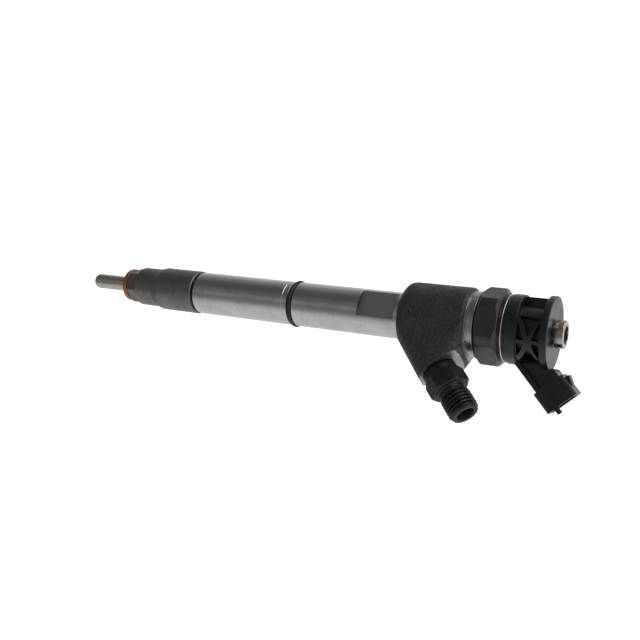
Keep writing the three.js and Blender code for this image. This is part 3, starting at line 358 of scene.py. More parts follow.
nut_low, nut_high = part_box("nozzle_retaining_nut")
nut_flats = 14 * mm
nut_flats_length = 5.4 * mm
nut_middle_radius = 8.8 * mm
nut_taper_start = nut_low.z + 16 * mm
nut_taper_end = nut_taper_start + 3.3 * mm
nut_front_turn = math.radians(-15.5)
body_thread = 8.2 * mm
running_gap = 0.12 * mm
retaining_nut = turned("retaining_nut", [
    (shank_radius + 2 * running_gap, nut_low.z, 0.2 * mm),
    (nut_flats / 2 - 0.2 * mm, nut_low.z, 0.2 * mm),
    (nut_flats / 2 + 1.1 * mm, nut_low.z + 0.9 * mm, 0),
    (nut_flats / 2 + 1.1 * mm, nut_low.z + nut_flats_length, 0.1 * mm),
    (nut_middle_radius, nut_low.z + nut_flats_length + 0.75 * mm, 0.25 * mm),
    (nut_middle_radius, nut_taper_start, 0.8 * mm),
    (nut_high.x, nut_taper_end, 0.8 * mm),
    (nut_high.x, nut_high.z - 0.35 * mm, 0.12 * mm),
    (nut_high.x - 0.35 * mm, nut_high.z, 0.12 * mm),
    (body_thread + running_gap, nut_high.z, 0.3 * mm),
    (body_thread + running_gap, nozzle_high.z - 0.6 * mm, 0),
    (nozzle_high.x + running_gap, nozzle_high.z - 1.4 * mm, 0),
    (nozzle_high.x + running_gap, cone_end - 0.1 * mm, 0),
    (shank_radius + 2 * running_gap, cone_start - 0.1 * mm, 0),
])


def hex_bar(name, flats, low, high, turn, place=Matrix()):
    """Hexagonal bar with one flat facing the turn from +X."""
    corner = flats / 2 / math.cos(math.pi / 6)
    shape = bmesh.new()
    rings = []
    for height in (low, high):
        angles = [turn + math.pi / 6 + i * math.pi / 3 for i in range(6)]
        spots = [(corner * math.cos(a), corner * math.sin(a), height) for a in angles]
        rings.append([shape.verts.new(spot) for spot in spots])
        shape.faces.new(rings[-1])
    for i in range(6):
        shape.faces.new([rings[0][i - 1], rings[0][i], rings[1][i], rings[1][i - 1]])
    return placed(name, shape, place)


def soften(piece, width, turn=30, steps=2):
    """Breaks the sharp edges of a piece, as a file or a mould does."""
    edge = piece.modifiers.new("edge", "BEVEL")
    edge.width = width
    edge.segments = steps
    edge.limit_method = "ANGLE"
    edge.angle_limit = math.radians(turn)
    edge.use_clamp_overlap = True
    edge.miter_outer = "MITER_ARC"
    settle(piece)


def mill_hex(piece, flats, low, high, turn, place=Matrix()):
    """Mills six flats between two heights."""
    within = 0.3 * flats
    beyond = 0.8 * flats
    ring = turned("cutter", [(within, low, 0), (beyond, low, 0), (beyond, high, 0), (within, high, 0)],
                  place, sides=48)
    carve(ring, hex_bar("kept", flats, low - 1 * mm, high + 1 * mm, turn, place))
    carve(piece, ring)


mill_hex(retaining_nut, nut_flats, nut_low.z - 1 * mm, nut_low.z + nut_flats_length, nut_front_turn)
soften(retaining_nut, 0.1 * mm, turn=35, steps=2)
phosphated_steel = machined("phosphated_steel", (0.245, 0.225, 0.215), (0.175, 0.16, 0.155), 0.42,
                            spacing=0.25 * mm, spots=6 * mm, depth=0.006 * mm, metallic=0.9,
                            rubbed=(0.42, 0.39, 0.37))
fit(retaining_nut, "phosphated_steel", phosphated_steel, "nozzle_retaining_nut")

# ---------------------------------------------------------------- body, its shaft
# The long stem of the forged body, turned and then ground bright between centres. A groove holds the O-ring,
# a thin line marks the depth beside it, and two flats take the prongs of the clamping fork.

body_low, body_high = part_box("injector_body")
ring_low, ring_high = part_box("shaft_o_ring")
shaft_radius = 9.5 * mm
shaft_low_radius = 9.4 * mm
shoulder = nut_high.z + 1.1 * mm
groove_middle = (ring_low.z + ring_high.z) / 2
groove_low = groove_middle - 1.3 * mm
groove_high = groove_middle + 1.3 * mm
groove_floor = shaft_radius - 1.3 * mm
mark_height = groove_low - 2.4 * mm
head_low = groove_high + 48.8 * mm
head_high = head_low + 28.1 * mm
flats_low = groove_high + 30.6 * mm
flats_high = flats_low + 16 * mm
flats_half = 7.5 * mm
spring_bore = 3.3 * mm
spring_bore_top = body_low.z + 18 * mm
piston_bore = 2.2 * mm
shaft = turned("body_shaft", [
    (spring_bore, body_low.z, 0.2 * mm),
    (body_thread - 0.6 * mm, body_low.z, 0),
    (body_thread, body_low.z + 0.6 * mm, 0),
    (body_thread, body_low.z + 12.6 * mm, 0),
    (body_thread - 0.5 * mm, body_low.z + 13.1 * mm, 0.2 * mm),
    (body_thread - 0.5 * mm, shoulder, 0.2 * mm),
    (shaft_low_radius - 0.45 * mm, shoulder, 0.1 * mm),
    (shaft_low_radius - 0.12 * mm, shoulder + 0.4 * mm, 0.15 * mm),
    (shaft_low_radius - 0.12 * mm, shoulder + 1.5 * mm, 0),
    (shaft_low_radius, shoulder + 1.7 * mm, 0.1 * mm),
    (shaft_low_radius, mark_height - 0.22 * mm, 0.05 * mm),
    (shaft_low_radius - 0.2 * mm, mark_height, 0.08 * mm),
    (shaft_low_radius, mark_height + 0.22 * mm, 0.05 * mm),
    (shaft_low_radius, groove_low, 0.15 * mm),
    (groove_floor, groove_low, 0.2 * mm),
    (groove_floor, groove_high, 0.2 * mm),
    (shaft_radius, groove_high, 0.15 * mm),
    (shaft_radius, head_low + 2 * mm, 0),
    (piston_bore, head_low + 2 * mm, 0),
    (piston_bore, spring_bore_top, 0),
    (spring_bore, spring_bore_top, 0.2 * mm),
], sides=192)


def block(name, low, high, place=Matrix()):
    """A square-cornered block between two corners, to cut with or to build on."""
    shape = bmesh.new()
    bmesh.ops.create_cube(shape, size=1)
    for corner in shape.verts:
        corner.co = [(low[i] + high[i]) / 2 + corner.co[i] * (high[i] - low[i]) for i in range(3)]
    return placed(name, shape, place)


for side in (-1, 1):
    depth = sorted((side * flats_half, side * 2 * shaft_radius))
    mill_from = (-2 * shaft_radius, depth[0], flats_low)
    mill_to = (2 * shaft_radius, depth[1], flats_high)
    carve(shaft, block("mill", mill_from, mill_to))
soften(shaft, 0.12 * mm, turn=40)
ground_steel = machined("ground_steel", (0.60, 0.595, 0.595), (0.45, 0.455, 0.475), 0.18, spacing=0.3 * mm,
                        spots=9 * mm, depth=0.003 * mm, waver=0.12, rubbed=(0.68, 0.68, 0.68))
milled_flat = machined("milled_flat_steel", (0.37, 0.365, 0.375), (0.28, 0.276, 0.286), 0.5,
                       spacing=0.35 * mm, spots=4 * mm, depth=0.012 * mm, rubbed=(0.5, 0.49, 0.48))
# The step walls at the two ends of the flats are cut metal like the flats; their near-black colour is painted
# shade.
ledge_painted_shade = machined("painted_shade_ledge_steel", (0.085, 0.068, 0.058), (0.05, 0.042, 0.038), 0.6,
                        spots=2 * mm, metallic=0.4)
shaft.data.materials.clear()
for finish in (ground_steel, milled_flat, ledge_painted_shade):
    shaft.data.materials.append(finish)
near = 0.2 * mm
for face in shaft.data.polygons:
    between = flats_low - near < face.center.z < flats_high + near
    flat = between and abs(face.normal.y) > 0.99 and abs(abs(face.center.y) - flats_half) < 0.25 * near
    # the step walls at the ends of the flats take the painted shade
    ledge = between and abs(face.normal.z) > 0.9 and abs(face.center.y) > flats_half - near
    face.material_index = 2 if ledge else 1 if flat else 0
fit(shaft, "ground_steel", None, "injector_body", crease=28)

# ---------------------------------------------------------------- shaft O-ring
# Black fluorocarbon rubber, moulded in two halves, so a fine flash line runs round it. It seals the injector
# in its bore and stands a little proud of the shaft.

wire = (ring_high.z - ring_low.z) / 2
ring_middle = ring_high.x - wire
flash = 0.03 * mm
outline = []
for i in range(28):
    angle = 2 * math.pi * i / 28
    swell = wire - flash if i % 14 else wire
    outline.append((ring_middle + swell * math.cos(angle), groove_middle + swell * math.sin(angle), 0))
shaft_o_ring = turned("shaft_o_ring", outline, sides=160)


def moulded_grain():
    """The fine stipple of a spark-eroded mould, and a faint uneven bloom over it."""
    group, given, result = effect("moulded_grain", {"Grain": 0.15 * mm}, ["Height", "Bloom"])
    at = node(group, "TexCoord").outputs["Object"]
    cells = node(group, "Math", {"operation": "DIVIDE"}, {0: 1, 1: given.outputs["Grain"]})
    stipple = node(group, "TexNoise", {}, {"Vector": at, "Scale": cells.outputs[0], "Detail": 2})
    bloom = node(group, "TexNoise", {},
                 {"Vector": at, "Scale": 1 / (7 * mm), "Detail": 5, "Roughness": 0.6})
    spread = node(group, "MapRange", {}, {0: bloom.outputs[0], 1: 0.35, 2: 0.7})
    group.links.new(stipple.outputs[0], result.inputs["Height"])
    group.links.new(spread.outputs[0], result.inputs["Bloom"])
    return group


stipple_of_the_mould = moulded_grain()


def moulded(name, colour, bloom_colour, roughness, grain=0.15 * mm, depth=0.02 * mm, rubbed=None):
    """Rubber or plastic from a mould: stippled, with a faint bloom and paler, rubbed edges."""
    look, tree, shader = coat(name, roughness, 0)
    skin = shared(tree, stipple_of_the_mould, Grain=grain)
    tone = blend_of(tree, skin["Bloom"], (*colour, 1), (*bloom_colour, 1))
    if rubbed:
        wear = shared(tree, rubbed_edges, Width=0.25 * mm)["Wear"]
        tone = blend_of(tree, wear, tone, (*rubbed, 1))
    gloss = node(tree, "MapRange", {}, {0: skin["Bloom"], 3: roughness * 0.85, 4: roughness * 1.15})
    tree.links.new(tone, shader.inputs["Base Color"])
    tree.links.new(gloss.outputs[0], shader.inputs["Roughness"])
    bump = node(tree, "Bump", {}, {"Strength": 0.4, "Distance": depth, "Height": skin["Height"]})
    tree.links.new(bump.outputs[0], shader.inputs["Normal"])
    return look


seal_rubber = moulded("seal_rubber", (0.012, 0.012, 0.013), (0.02, 0.02, 0.021), 0.5, grain=0.1 * mm)
fit(shaft_o_ring, "seal_rubber", seal_rubber, "shaft_o_ring", crease=60)

# ---------------------------------------------------------------- body, its forged head
# The hot-forged end of the body. It holds the valve and carries the slanted inlet boss. Its skin is
# shot-blasted and phosphated; the boss's face and the trimmed strip under the boss are cut afterwards.

inlet_tilt = math.radians(47.3)
inlet_crossing = head_low - 0.15 * mm
inlet_place = Matrix.Translation((0, 0, inlet_crossing)) @ Matrix.Rotation(inlet_tilt, 4, "Y")
boss_face = 29.6 * mm
boss_half = 8.6 * mm
head_radius = 14.25 * mm
boss_root = 14 * mm
head_rounding = 3.8 * mm
head_bevel = 0.9 * mm
boss_reach = 8.9 * mm
past = 1.2 * mm


def forging(name):
    """The skin stretched over the round head and the boss, before its faces are cut."""
    shape = bmesh.new()
    for i in range(96):
        turn = Matrix.Rotation(2 * math.pi * i / 96, 3, "Z")
        for step in range(9):
            angle = math.pi / 2 * step / 8
            radius = head_radius - head_rounding * (1 - math.sin(angle))
            shape.verts.new(turn @ Vector((radius, 0, head_low + head_rounding * (1 - math.cos(angle)))))
        shape.verts.new(turn @ Vector((head_radius, 0, head_high - head_bevel)))
        shape.verts.new(turn @ Vector((head_radius - head_bevel - past, 0, head_high + past)))
    for i in range(33):
        angle = math.pi * (i / 32 - 0.5)
        for along in (boss_root, boss_face + past):
            spot = Vector((boss_half * math.cos(angle), boss_half * math.sin(angle), along))
            shape.verts.new(inlet_place @ spot)
    rim = inlet_place.inverted() @ Vector((head_radius - head_bevel, 0, head_high))
    square_end = Vector((-boss_reach, 0, boss_face))
    beyond = square_end + (square_end - rim) * (past / (square_end.z - rim.z))
    for end in (square_end, beyond):
        for side in (-1, 1):
            shape.verts.new(inlet_place @ (end + Vector((0, side * boss_half, 0))))
    made = bmesh.ops.convex_hull(shape, input=shape.verts)
    inside = [v for v in made["geom_interior"] + made["geom_unused"] if isinstance(v, bmesh.types.BMVert)]
    bmesh.ops.delete(shape, geom=list(dict.fromkeys(inside)), context="VERTS")
    return placed(name, shape)


head = forging("body_head")
skin = head.modifiers.new("skin", "REMESH")
skin.mode = "VOXEL"
skin.voxel_size = 0.42 * mm
ease = head.modifiers.new("ease", "SMOOTH")
ease.iterations = 6
ease.factor = 0.5
settle(head)
scale_marks = bpy.data.textures.new("forging_scale", "CLOUDS")
scale_marks.noise_scale = 3.2 * mm
dents = head.modifiers.new("dents", "DISPLACE")
dents.texture = scale_marks
dents.texture_coords = "GLOBAL"
dents.strength = 0.12 * mm
dents.mid_level = 0.62
settle(head)


wide = 30 * mm
corner_centre = Vector((head_radius - head_rounding, head_low + head_rounding))
boss_lip = inlet_place @ Vector((boss_half, 0, boss_face))
reach = Vector((boss_lip.x, boss_lip.z)) - corner_centre
lean = math.atan2(reach.y, reach.x) - math.acos(head_rounding / reach.length)
under = Vector((math.cos(lean), 0, math.sin(lean)))
trim_depth = 0.3 * mm
trimmed = block("trim", (-wide, -wide, 0), (wide, wide, wide), aimed(boss_lip - under * trim_depth, under))
carve(head, trimmed)
carve(head, block("facing", (-wide, -wide, boss_face), (wide, wide, 2 * wide), inlet_place))
carve(head, block("facing", (-wide, -wide, head_high), (wide, wide, head_high + wide)))
punch_from_lip = inlet_place.to_3x3() @ Vector((0.3 * mm, 1.6 * mm, 1.7 * mm))
punch_place = boss_lip - under * (trim_depth + 0.1 * mm) - punch_from_lip
punch = turned("punch", [(0, -0.9 * mm, 0), (0.7 * mm, 0.6 * mm, 0), (0, 0.6 * mm, 0)],
               aimed(punch_place, under), sides=24)
carve(head, punch)
valve_bore = 4.3 * mm
clamp_bore = 7.8 * mm
armature_bore = 10 * mm
valve_seat = head_low + 10.1 * mm
armature_floor = valve_seat + 10.5 * mm
bores = turned("boring_bar", [
    (0, head_low - 2 * mm, 0),
    (piston_bore, head_low - 2 * mm, 0),
    (piston_bore, head_low, 0),
    (valve_bore, head_low, 0),
    (valve_bore, valve_seat, 0),
    (clamp_bore, valve_seat, 0),
    (clamp_bore, armature_floor, 0),
    (armature_bore, armature_floor, 0),
    (armature_bore, head_high + 2 * mm, 0),
    (0, head_high + 2 * mm, 0),
], sides=96)
carve(head, bores)
port_radius = 5.15 * mm
port_floor = boss_face - 10 * mm
port = [(0, 5.3 * mm, 0), (1.2 * mm, 5.3 * mm, 0), (1.2 * mm, port_floor, 0), (port_radius, port_floor, 0),
        (port_radius, boss_face + 2 * mm, 0), (0, boss_face + 2 * mm, 0)]
carve(head, turned("port_drill", port, inlet_place, sides=64))
soften(head, 0.12 * mm, turn=50, steps=2)


def forging_skin():
    """Shot-blasted scale: speckle at the size of the shot, and patches of thick and thin phosphate."""
    group, given, result = effect("forging_skin", {"Grain": 0.5 * mm}, ["Speckle", "Patches", "Height"])
    at = node(group, "TexCoord").outputs["Object"]
    cells = node(group, "Math", {"operation": "DIVIDE"}, {0: 1, 1: given.outputs["Grain"]}).outputs[0]
    shot = node(group, "TexNoise", {}, {"Vector": at, "Scale": cells, "Detail": 4, "Roughness": 0.7})
    speckle = node(group, "MapRange", {}, {0: shot.outputs[0], 1: 0.36, 2: 0.66}).outputs[0]
    clouds = node(group, "TexNoise", {},
                  {"Vector": at, "Scale": 1 / (6 * mm), "Detail": 5, "Roughness": 0.65, "Distortion": 0.5})
    patches = node(group, "MapRange", {}, {0: clouds.outputs[0], 1: 0.36, 2: 0.66}).outputs[0]
    pits = node(group, "TexVoronoi", {"feature": "SMOOTH_F1"},
                {"Vector": at, "Scale": cells, "Smoothness": 0.6})
    height = node(group, "Math", {"operation": "ADD"}, {0: shot.outputs[0], 1: pits.outputs[0]}).outputs[0]
    group.links.new(speckle, result.inputs["Speckle"])
    group.links.new(patches, result.inputs["Patches"])
    group.links.new(height, result.inputs["Height"])
    return group


shot_blasted_skin = forging_skin()
forged_steel, tree, shader = coat("forged_steel", 0.62, 0.35)
blast = shared(tree, shot_blasted_skin, Grain=0.45 * mm)
ground_tone = blend_of(tree, blast["Patches"], (0.058, 0.047, 0.041, 1), (0.026, 0.021, 0.019, 1))
specks = node(tree, "MapRange", {}, {0: blast["Speckle"], 1: 0.5, 2: 1, 3: 0, 4: 0.85}).outputs[0]
speckled = blend_of(tree, specks, ground_tone, (0.155, 0.135, 0.124, 1))
wear = shared(tree, rubbed_edges, Width=0.35 * mm)["Wear"]
tree.links.new(blend_of(tree, wear, speckled, (0.34, 0.32, 0.3, 1)), shader.inputs["Base Color"])
dry = node(tree, "MapRange", {}, {0: blast["Patches"], 3: 0.4, 4: 0.58}).outputs[0]
tree.links.new(dry, shader.inputs["Roughness"])
bump = node(tree, "Bump", {}, {"Strength": 0.55, "Distance": 0.05 * mm, "Height": blast["Height"]})
tree.links.new(bump.outputs[0], shader.inputs["Normal"])

bright_cut = machined("bright_cut_steel", (0.42, 0.41, 0.40), (0.32, 0.31, 0.30), 0.34, spacing=0.3 * mm,
                      spots=5 * mm, depth=0.005 * mm, rubbed=(0.7, 0.7, 0.7))
head.data.materials.append(forged_steel)
head.data.materials.append(bright_cut)
face_way = inlet_place.to_3x3() @ Vector((0, 0, 1))
for face in head.data.polygons:
    centre = inlet_place.inverted() @ face.center
    faced = face.normal.dot(face_way) > 0.99 and abs(centre.z - boss_face) < 0.05 * mm
    bored = math.hypot(face.center.x, face.center.y) < armature_bore + 0.05 * mm
    ported = math.hypot(centre.x, centre.y) < port_radius + 0.05 * mm and centre.z > 0
    face.material_index = 1 if faced or bored or ported else 0
fit(head, "forged_steel", None, "injector_body", crease=45)

# ---------------------------------------------------------------- body, its turned neck
# Above the forging the body is turned bright: a ring groove, a wide land and a small rim, then the thread
# that the solenoid nut screws onto.

neck_radius = 13 * mm
neck_top = head_high + 3.7 * mm
top_thread = 12 * mm
neck = turned("body_neck", [
    (armature_bore, head_high - 1 * mm, 0),
    (neck_radius, head_high - 1 * mm, 0),
    (neck_radius, head_high + 0.3 * mm, 0.1 * mm),
    (neck_radius - 0.5 * mm, head_high + 0.45 * mm, 0.08 * mm),
    (neck_radius - 0.5 * mm, head_high + 0.95 * mm, 0.08 * mm),
    (neck_radius, head_high + 1.1 * mm, 0.1 * mm),
    (neck_radius, neck_top - 0.9 * mm, 0.08 * mm),
    (neck_radius + 0.3 * mm, neck_top - 0.8 * mm, 0.05 * mm),
    (neck_radius + 0.3 * mm, neck_top - 0.3 * mm, 0.15 * mm),
    (top_thread, neck_top, 0.2 * mm),
    (top_thread, body_high.z - 0.5 * mm, 0.1 * mm),
    (top_thread - 0.5 * mm, body_high.z, 0.1 * mm),
    (armature_bore, body_high.z, 0.2 * mm),
], sides=192)
bright_neck = machined("bright_turned_steel", (0.47, 0.455, 0.44), (0.34, 0.33, 0.32), 0.26,
                       spacing=0.25 * mm, spots=5 * mm, depth=0.004 * mm, rubbed=(0.75, 0.74, 0.73))
fit(neck, "ground_steel", bright_neck, "injector_body")

# ---------------------------------------------------------------- high-pressure inlet
# Turned and milled from bar, then blacked. The collar seals on the boss, the hexagon takes a spanner, and the
# rolled M12 x 1.5 thread and the coned mouth take the pressure pipe. A slim filter is pressed into its bore.

inlet_end = 50.7 * mm
collar_radius = 6.9 * mm
collar_low = boss_face + 0.3 * mm
collar_high = collar_low + 2.3 * mm
inlet_flats = 14 * mm
inlet_hex_low = 32.6 * mm
inlet_hex_high = 39.4 * mm
inlet_hex_turn = math.radians(30)
inlet_neck = 5.3 * mm
thread_radius = 6 * mm
thread_pitch = 1.5 * mm
thread_depth = 0.9 * mm
thread_low = 41.2 * mm
thread_high = inlet_end - 0.35 * mm
thread_step = 0.07 * mm
inlet_bore = 1.9 * mm
mouth_radius = 3.5 * mm
shank_low = port_floor + 1.4 * mm
inlet = turned("inlet_connector", [
    (inlet_bore, shank_low, 0.1 * mm),
    (5 * mm, shank_low, 0.2 * mm),
    (5 * mm, collar_low, 0),
    (collar_radius, collar_low, 0.15 * mm),
    (collar_radius, collar_high, 0.3 * mm),
    (inlet_flats / 2 + 1.1 * mm, inlet_hex_low + 0.9 * mm, 0),
    (inlet_flats / 2 + 1.1 * mm, inlet_hex_high - 0.9 * mm, 0),
    (inlet_flats / 2 - 0.25 * mm, inlet_hex_high, 0.1 * mm),
    (inlet_bore, inlet_hex_high, 0),
], inlet_place, sides=160)
outline = [
    (inlet_bore, inlet_hex_high, 0),
    (inlet_neck + 0.5 * mm, inlet_hex_high, 0),
    (inlet_neck + 0.1 * mm, inlet_hex_high + 0.4 * mm, 0.2 * mm),
    (inlet_neck, thread_low - 0.3 * mm, 0.3 * mm),
]
outline += [(thread_radius, thread_low + i * thread_step, 0)
            for i in range(round((thread_high - thread_low) / thread_step))]
outline += [
    (inlet_end - thread_high + 4.9 * mm, thread_high, 0),
    (5.1 * mm, inlet_end, 0.15 * mm),
    (mouth_radius + 0.1 * mm, inlet_end, 0.15 * mm),
    (inlet_bore, inlet_end - 4.6 * mm, 0),
]
inlet_thread = turned("inlet_thread", outline, inlet_place, sides=160)
for corner in inlet_thread.data.vertices:
    radius = math.hypot(corner.co.x, corner.co.y)
    if thread_low - 0.01 * mm <= corner.co.z < thread_high and radius > thread_radius - 0.1 * mm:
        phase = (corner.co.z / thread_pitch - math.atan2(corner.co.y, corner.co.x) / (2 * math.pi)) % 1
        flank = min(1, max(0, (abs(2 * phase - 1) - 0.14) / 0.62))
        root = thread_depth * flank * flank * (3 - 2 * flank)
        start = min(1, (corner.co.z - thread_low) / thread_pitch)
        end = min(1, (thread_high - corner.co.z) / (0.9 * thread_pitch))
        crest = inlet_neck + (thread_radius - inlet_neck) * start
        cut = min(crest, thread_radius - root, 5.3 * mm + (thread_radius - 5.3 * mm) * end)
        corner.co.x *= cut / radius
        corner.co.y *= cut / radius
mill_hex(inlet, inlet_flats, inlet_hex_low, inlet_hex_high, inlet_hex_turn, inlet_place)
for part in (inlet, inlet_thread):
    soften(part, 0.07 * mm, turn=50)
black_oxide = machined("black_oxide_steel", (0.03, 0.027, 0.026), (0.05, 0.045, 0.043), 0.4,
                       spacing=0.3 * mm, spots=4 * mm, depth=0.006 * mm, metallic=0.75,
                       rubbed=(0.3, 0.29, 0.28), rubbed_width=0.18 * mm)
for part in (inlet, inlet_thread):
    fit(part, "black_oxide_steel", black_oxide, "inlet_connector", crease=38)

# ---------------------------------------------------------------- solenoid nut
# A thin hexagon nut turned from bar, phosphated and brushed clean on its flats. It holds the solenoid down in
# the body. Its corners are turned down and chamfered. The marking that such nuts carry is left off.

cap_nut_low, cap_nut_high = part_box("solenoid_nut")
cap_nut_flats = 28 * mm
cap_nut_turned = 15.1 * mm
cap_nut_turn = math.radians(-9.9)
cap_nut_chamfer = 1.2 * mm
sleeve_low, sleeve_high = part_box("magnet_sleeve")
sleeve_top_radius = 10.1 * mm
cap_nut = turned("solenoid_nut", [
    (top_thread + running_gap, cap_nut_low.z, 0.3 * mm),
    (cap_nut_flats / 2 - 0.3 * mm, cap_nut_low.z, 0.1 * mm),
    (cap_nut_turned, cap_nut_low.z + cap_nut_chamfer, 0.15 * mm),
    (cap_nut_turned, cap_nut_high.z - cap_nut_chamfer, 0.15 * mm),
    (cap_nut_flats / 2 - 0.3 * mm, cap_nut_high.z, 0.1 * mm),
    (sleeve_top_radius + 2 * running_gap, cap_nut_high.z, 0.3 * mm),
    (sleeve_top_radius + 2 * running_gap, sleeve_low.z + 1.3 * mm, 0),
    (top_thread + running_gap, sleeve_low.z + 1.3 * mm, 0),
], sides=192)
mill_hex(cap_nut, cap_nut_flats, cap_nut_low.z - 1 * mm, cap_nut_high.z + 1 * mm, cap_nut_turn)
soften(cap_nut, 0.1 * mm, turn=24)
brushed_nut = machined("brushed_phosphate", (0.10, 0.09, 0.086), (0.066, 0.062, 0.06), 0.34,
                       spacing=0.22 * mm, spots=6 * mm, depth=0.006 * mm, metallic=0.85,
                       rubbed=(0.4, 0.37, 0.35))
fit(cap_nut, "phosphated_steel", brushed_nut, "solenoid_nut")

# ---------------------------------------------------------------- magnet sleeve and backing ring
# The sleeve is the bright turned rim of the solenoid, which the nut holds. A thin zinc-plated ring lies round
# it, and the cap sits on that ring.

sleeve = turned("magnet_sleeve", [
    (8.3 * mm, sleeve_low.z, 0.2 * mm),
    (sleeve_high.x, sleeve_low.z, 0.2 * mm),
    (sleeve_high.x, sleeve_low.z + 1.25 * mm, 0.2 * mm),
    (sleeve_top_radius, sleeve_low.z + 1.25 * mm, 0.2 * mm),
    (sleeve_top_radius, sleeve_high.z, 0.3 * mm),
    (8.3 * mm, sleeve_high.z, 0.3 * mm),
])
fit(sleeve, "ground_steel", bright_neck, "magnet_sleeve")
backing_low, backing_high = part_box("backing_ring")
backing = turned("backing_ring", [
    (sleeve_top_radius + running_gap, backing_low.z, 0.08 * mm),
    (backing_high.x, backing_low.z, 0.2 * mm),
    (backing_high.x, backing_high.z, 0.2 * mm),
    (sleeve_top_radius + running_gap, backing_high.z, 0.08 * mm),
], sides=192)
zinc_plate = machined("zinc_plate", (0.74, 0.72, 0.68), (0.58, 0.56, 0.52), 0.26, spots=4 * mm,
                      rubbed=(0.8, 0.78, 0.74))
fit(backing, "tinned_brass", zinc_plate, "backing_ring")

# ---------------------------------------------------------------- cap with the electrical connector
# One moulding of dark glass-filled nylon over the solenoid. It has a skirt, a cage of ribs with windows
# between them, a flat end disc, and a slanted neck that ends in the shroud for a two-way plug.

cap_low, cap_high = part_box("connector_cap")
skirt_radius = 13.4 * mm
rim_radius = 13.1 * mm
cage_radius = 12.7 * mm
pocket_radius = 10.2 * mm
hub_radius = 9.4 * mm
disc_radius = 14 * mm
skirt_top = cap_low.z + 5.1 * mm
cage_top = skirt_top + 9.2 * mm
disc_top = cage_top + 2.5 * mm
tube_radius = 4.1 * mm
snout_turn = 26.5
snout_lean = 46
snout_root = cap_low.z - 1.05 * mm
snout_place = Matrix.Translation((0, 0, snout_root)) @ Matrix.Rotation(math.radians(snout_turn), 4, "Z")
snout_place = snout_place @ Matrix.Rotation(math.radians(snout_lean), 4, "Y")
cap = turned("connector_cap", [
    (hub_radius - 0.4 * mm, cap_low.z, 0),
    (rim_radius, cap_low.z, 0.25 * mm),
    (rim_radius, cap_low.z + 0.8 * mm, 0.1 * mm),
    (skirt_radius, cap_low.z + 1.1 * mm, 0.2 * mm),
    (skirt_radius, skirt_top, 0.3 * mm),
    (hub_radius, skirt_top, 0.3 * mm),
    (hub_radius, cage_top, 0.3 * mm),
    (disc_radius, cage_top, 0.35 * mm),
    (disc_radius, disc_top, 0.4 * mm),
    (hub_radius - 0.4 * mm, disc_top, 0),
], sides=160)


def wedge(name, first, last, low, high, inner, outer):
    """A wall round the axis from one azimuth to another, in degrees, with square ends."""
    shape = bmesh.new()
    count = max(2, round(abs(last - first) / 3))
    rings = []
    for i in range(count + 1):
        angle = math.radians(first + (last - first) * i / count)
        side = [(inner, low), (outer, low), (outer, high), (inner, high)]
        rings.append([shape.verts.new((r * math.cos(angle), r * math.sin(angle), z)) for r, z in side])
    for ring, ahead in zip(rings, rings[1:]):
        for i in range(4):
            shape.faces.new([ring[i - 1], ring[i], ahead[i], ahead[i - 1]])
    shape.faces.new(rings[0])
    shape.faces.new(rings[-1])
    return placed(name, shape)


def window(middle, corners):
    """A three-cornered window cutter with its corners given as (degrees, height) from a panel's middle."""
    degree = math.radians(cage_radius)
    corner_fillet = 0.22 * mm
    flat = rounded([(turn * degree, height, corner_fillet) for turn, height in corners], steps=4)
    shape = bmesh.new()
    rings = []
    for radius in (pocket_radius, disc_radius + 2 * mm):
        turns = [math.radians(middle + point.x / degree) for point in flat]
        rings.append([shape.verts.new((radius * math.cos(a), radius * math.sin(a), point.y))
                      for a, point in zip(turns, flat)])
        shape.faces.new(rings[-1])
    for i in range(len(flat)):
        shape.faces.new([rings[0][i - 1], rings[0][i], rings[1][i], rings[1][i - 1]])
    return placed("window", shape)


panel_half = 47
panel_turn = 70
panel_root = 8
panel_sunk = 0.6 * mm
bar_half = 5.5
lattice_half = 1.3 * mm
window_low = skirt_top + 0.4 * mm
window_high = cage_top - 0.5 * mm
middle_height = (window_low + window_high) / 2
panel_walls = (skirt_top - panel_sunk, cage_top + panel_sunk, hub_radius - 0.5 * mm, cage_radius)
for side in (-1, 1):
    panel = wedge("panel", snout_turn + side * (panel_turn - panel_half - panel_root),
                  snout_turn + side * (panel_turn + panel_half), *panel_walls)
    carve(cap, panel, "UNION")
rear = snout_turn + 180
carve(cap, wedge("bar", rear - bar_half, rear + bar_half, *panel_walls), "UNION")


def bar(name, wide, thick, corner, low, high, place):
    """A bar along Z with a rounded rectangular section."""
    x, y = wide / 2, thick / 2
    outline = rounded([(-x, -y, corner), (x, -y, corner), (x, y, corner), (-x, y, corner)])
    shape = bmesh.new()
    rings = [[shape.verts.new((p.x, p.y, height)) for p in outline] for height in (low, high)]
    for ring in rings:
        shape.faces.new(ring)
    for i in range(len(outline)):
        shape.faces.new([rings[0][i - 1], rings[0][i], rings[1][i], rings[1][i - 1]])
    return placed(name, shape, place)


neck_wide = 10.6 * mm
neck_thick = 9.4 * mm
neck_flange = 2 * mm
neck_recess = 1.6 * mm
neck_end = 26.3 * mm
neck_corner = 0.6 * mm
neck_start = 9 * mm
shroud_wide = 13 * mm
shroud_thick = 11.4 * mm
shroud_end = 35 * mm
shroud_wall = 1.4 * mm
shroud_floor = 26.9 * mm
shroud_corner = 1.6 * mm
snout = bar("snout", neck_wide, neck_thick, neck_corner, neck_start, neck_end + 0.5 * mm, snout_place)
for side in (-1, 1):
    depth = sorted((side * (neck_thick / 2 - neck_recess), side * neck_thick))
    carve(snout, block("web", (neck_flange - neck_wide / 2, depth[0], neck_start - 1 * mm),
                       (neck_wide / 2 - neck_flange, depth[1], neck_end - 0.6 * mm), snout_place))
shroud = bar("shroud", shroud_wide, shroud_thick, shroud_corner, neck_end, shroud_end, snout_place)
carve(snout, shroud, "UNION")
key_place = 2.3 * mm
key_half = 0.8 * mm
key_root = -shroud_thick / 2 + 1 * mm
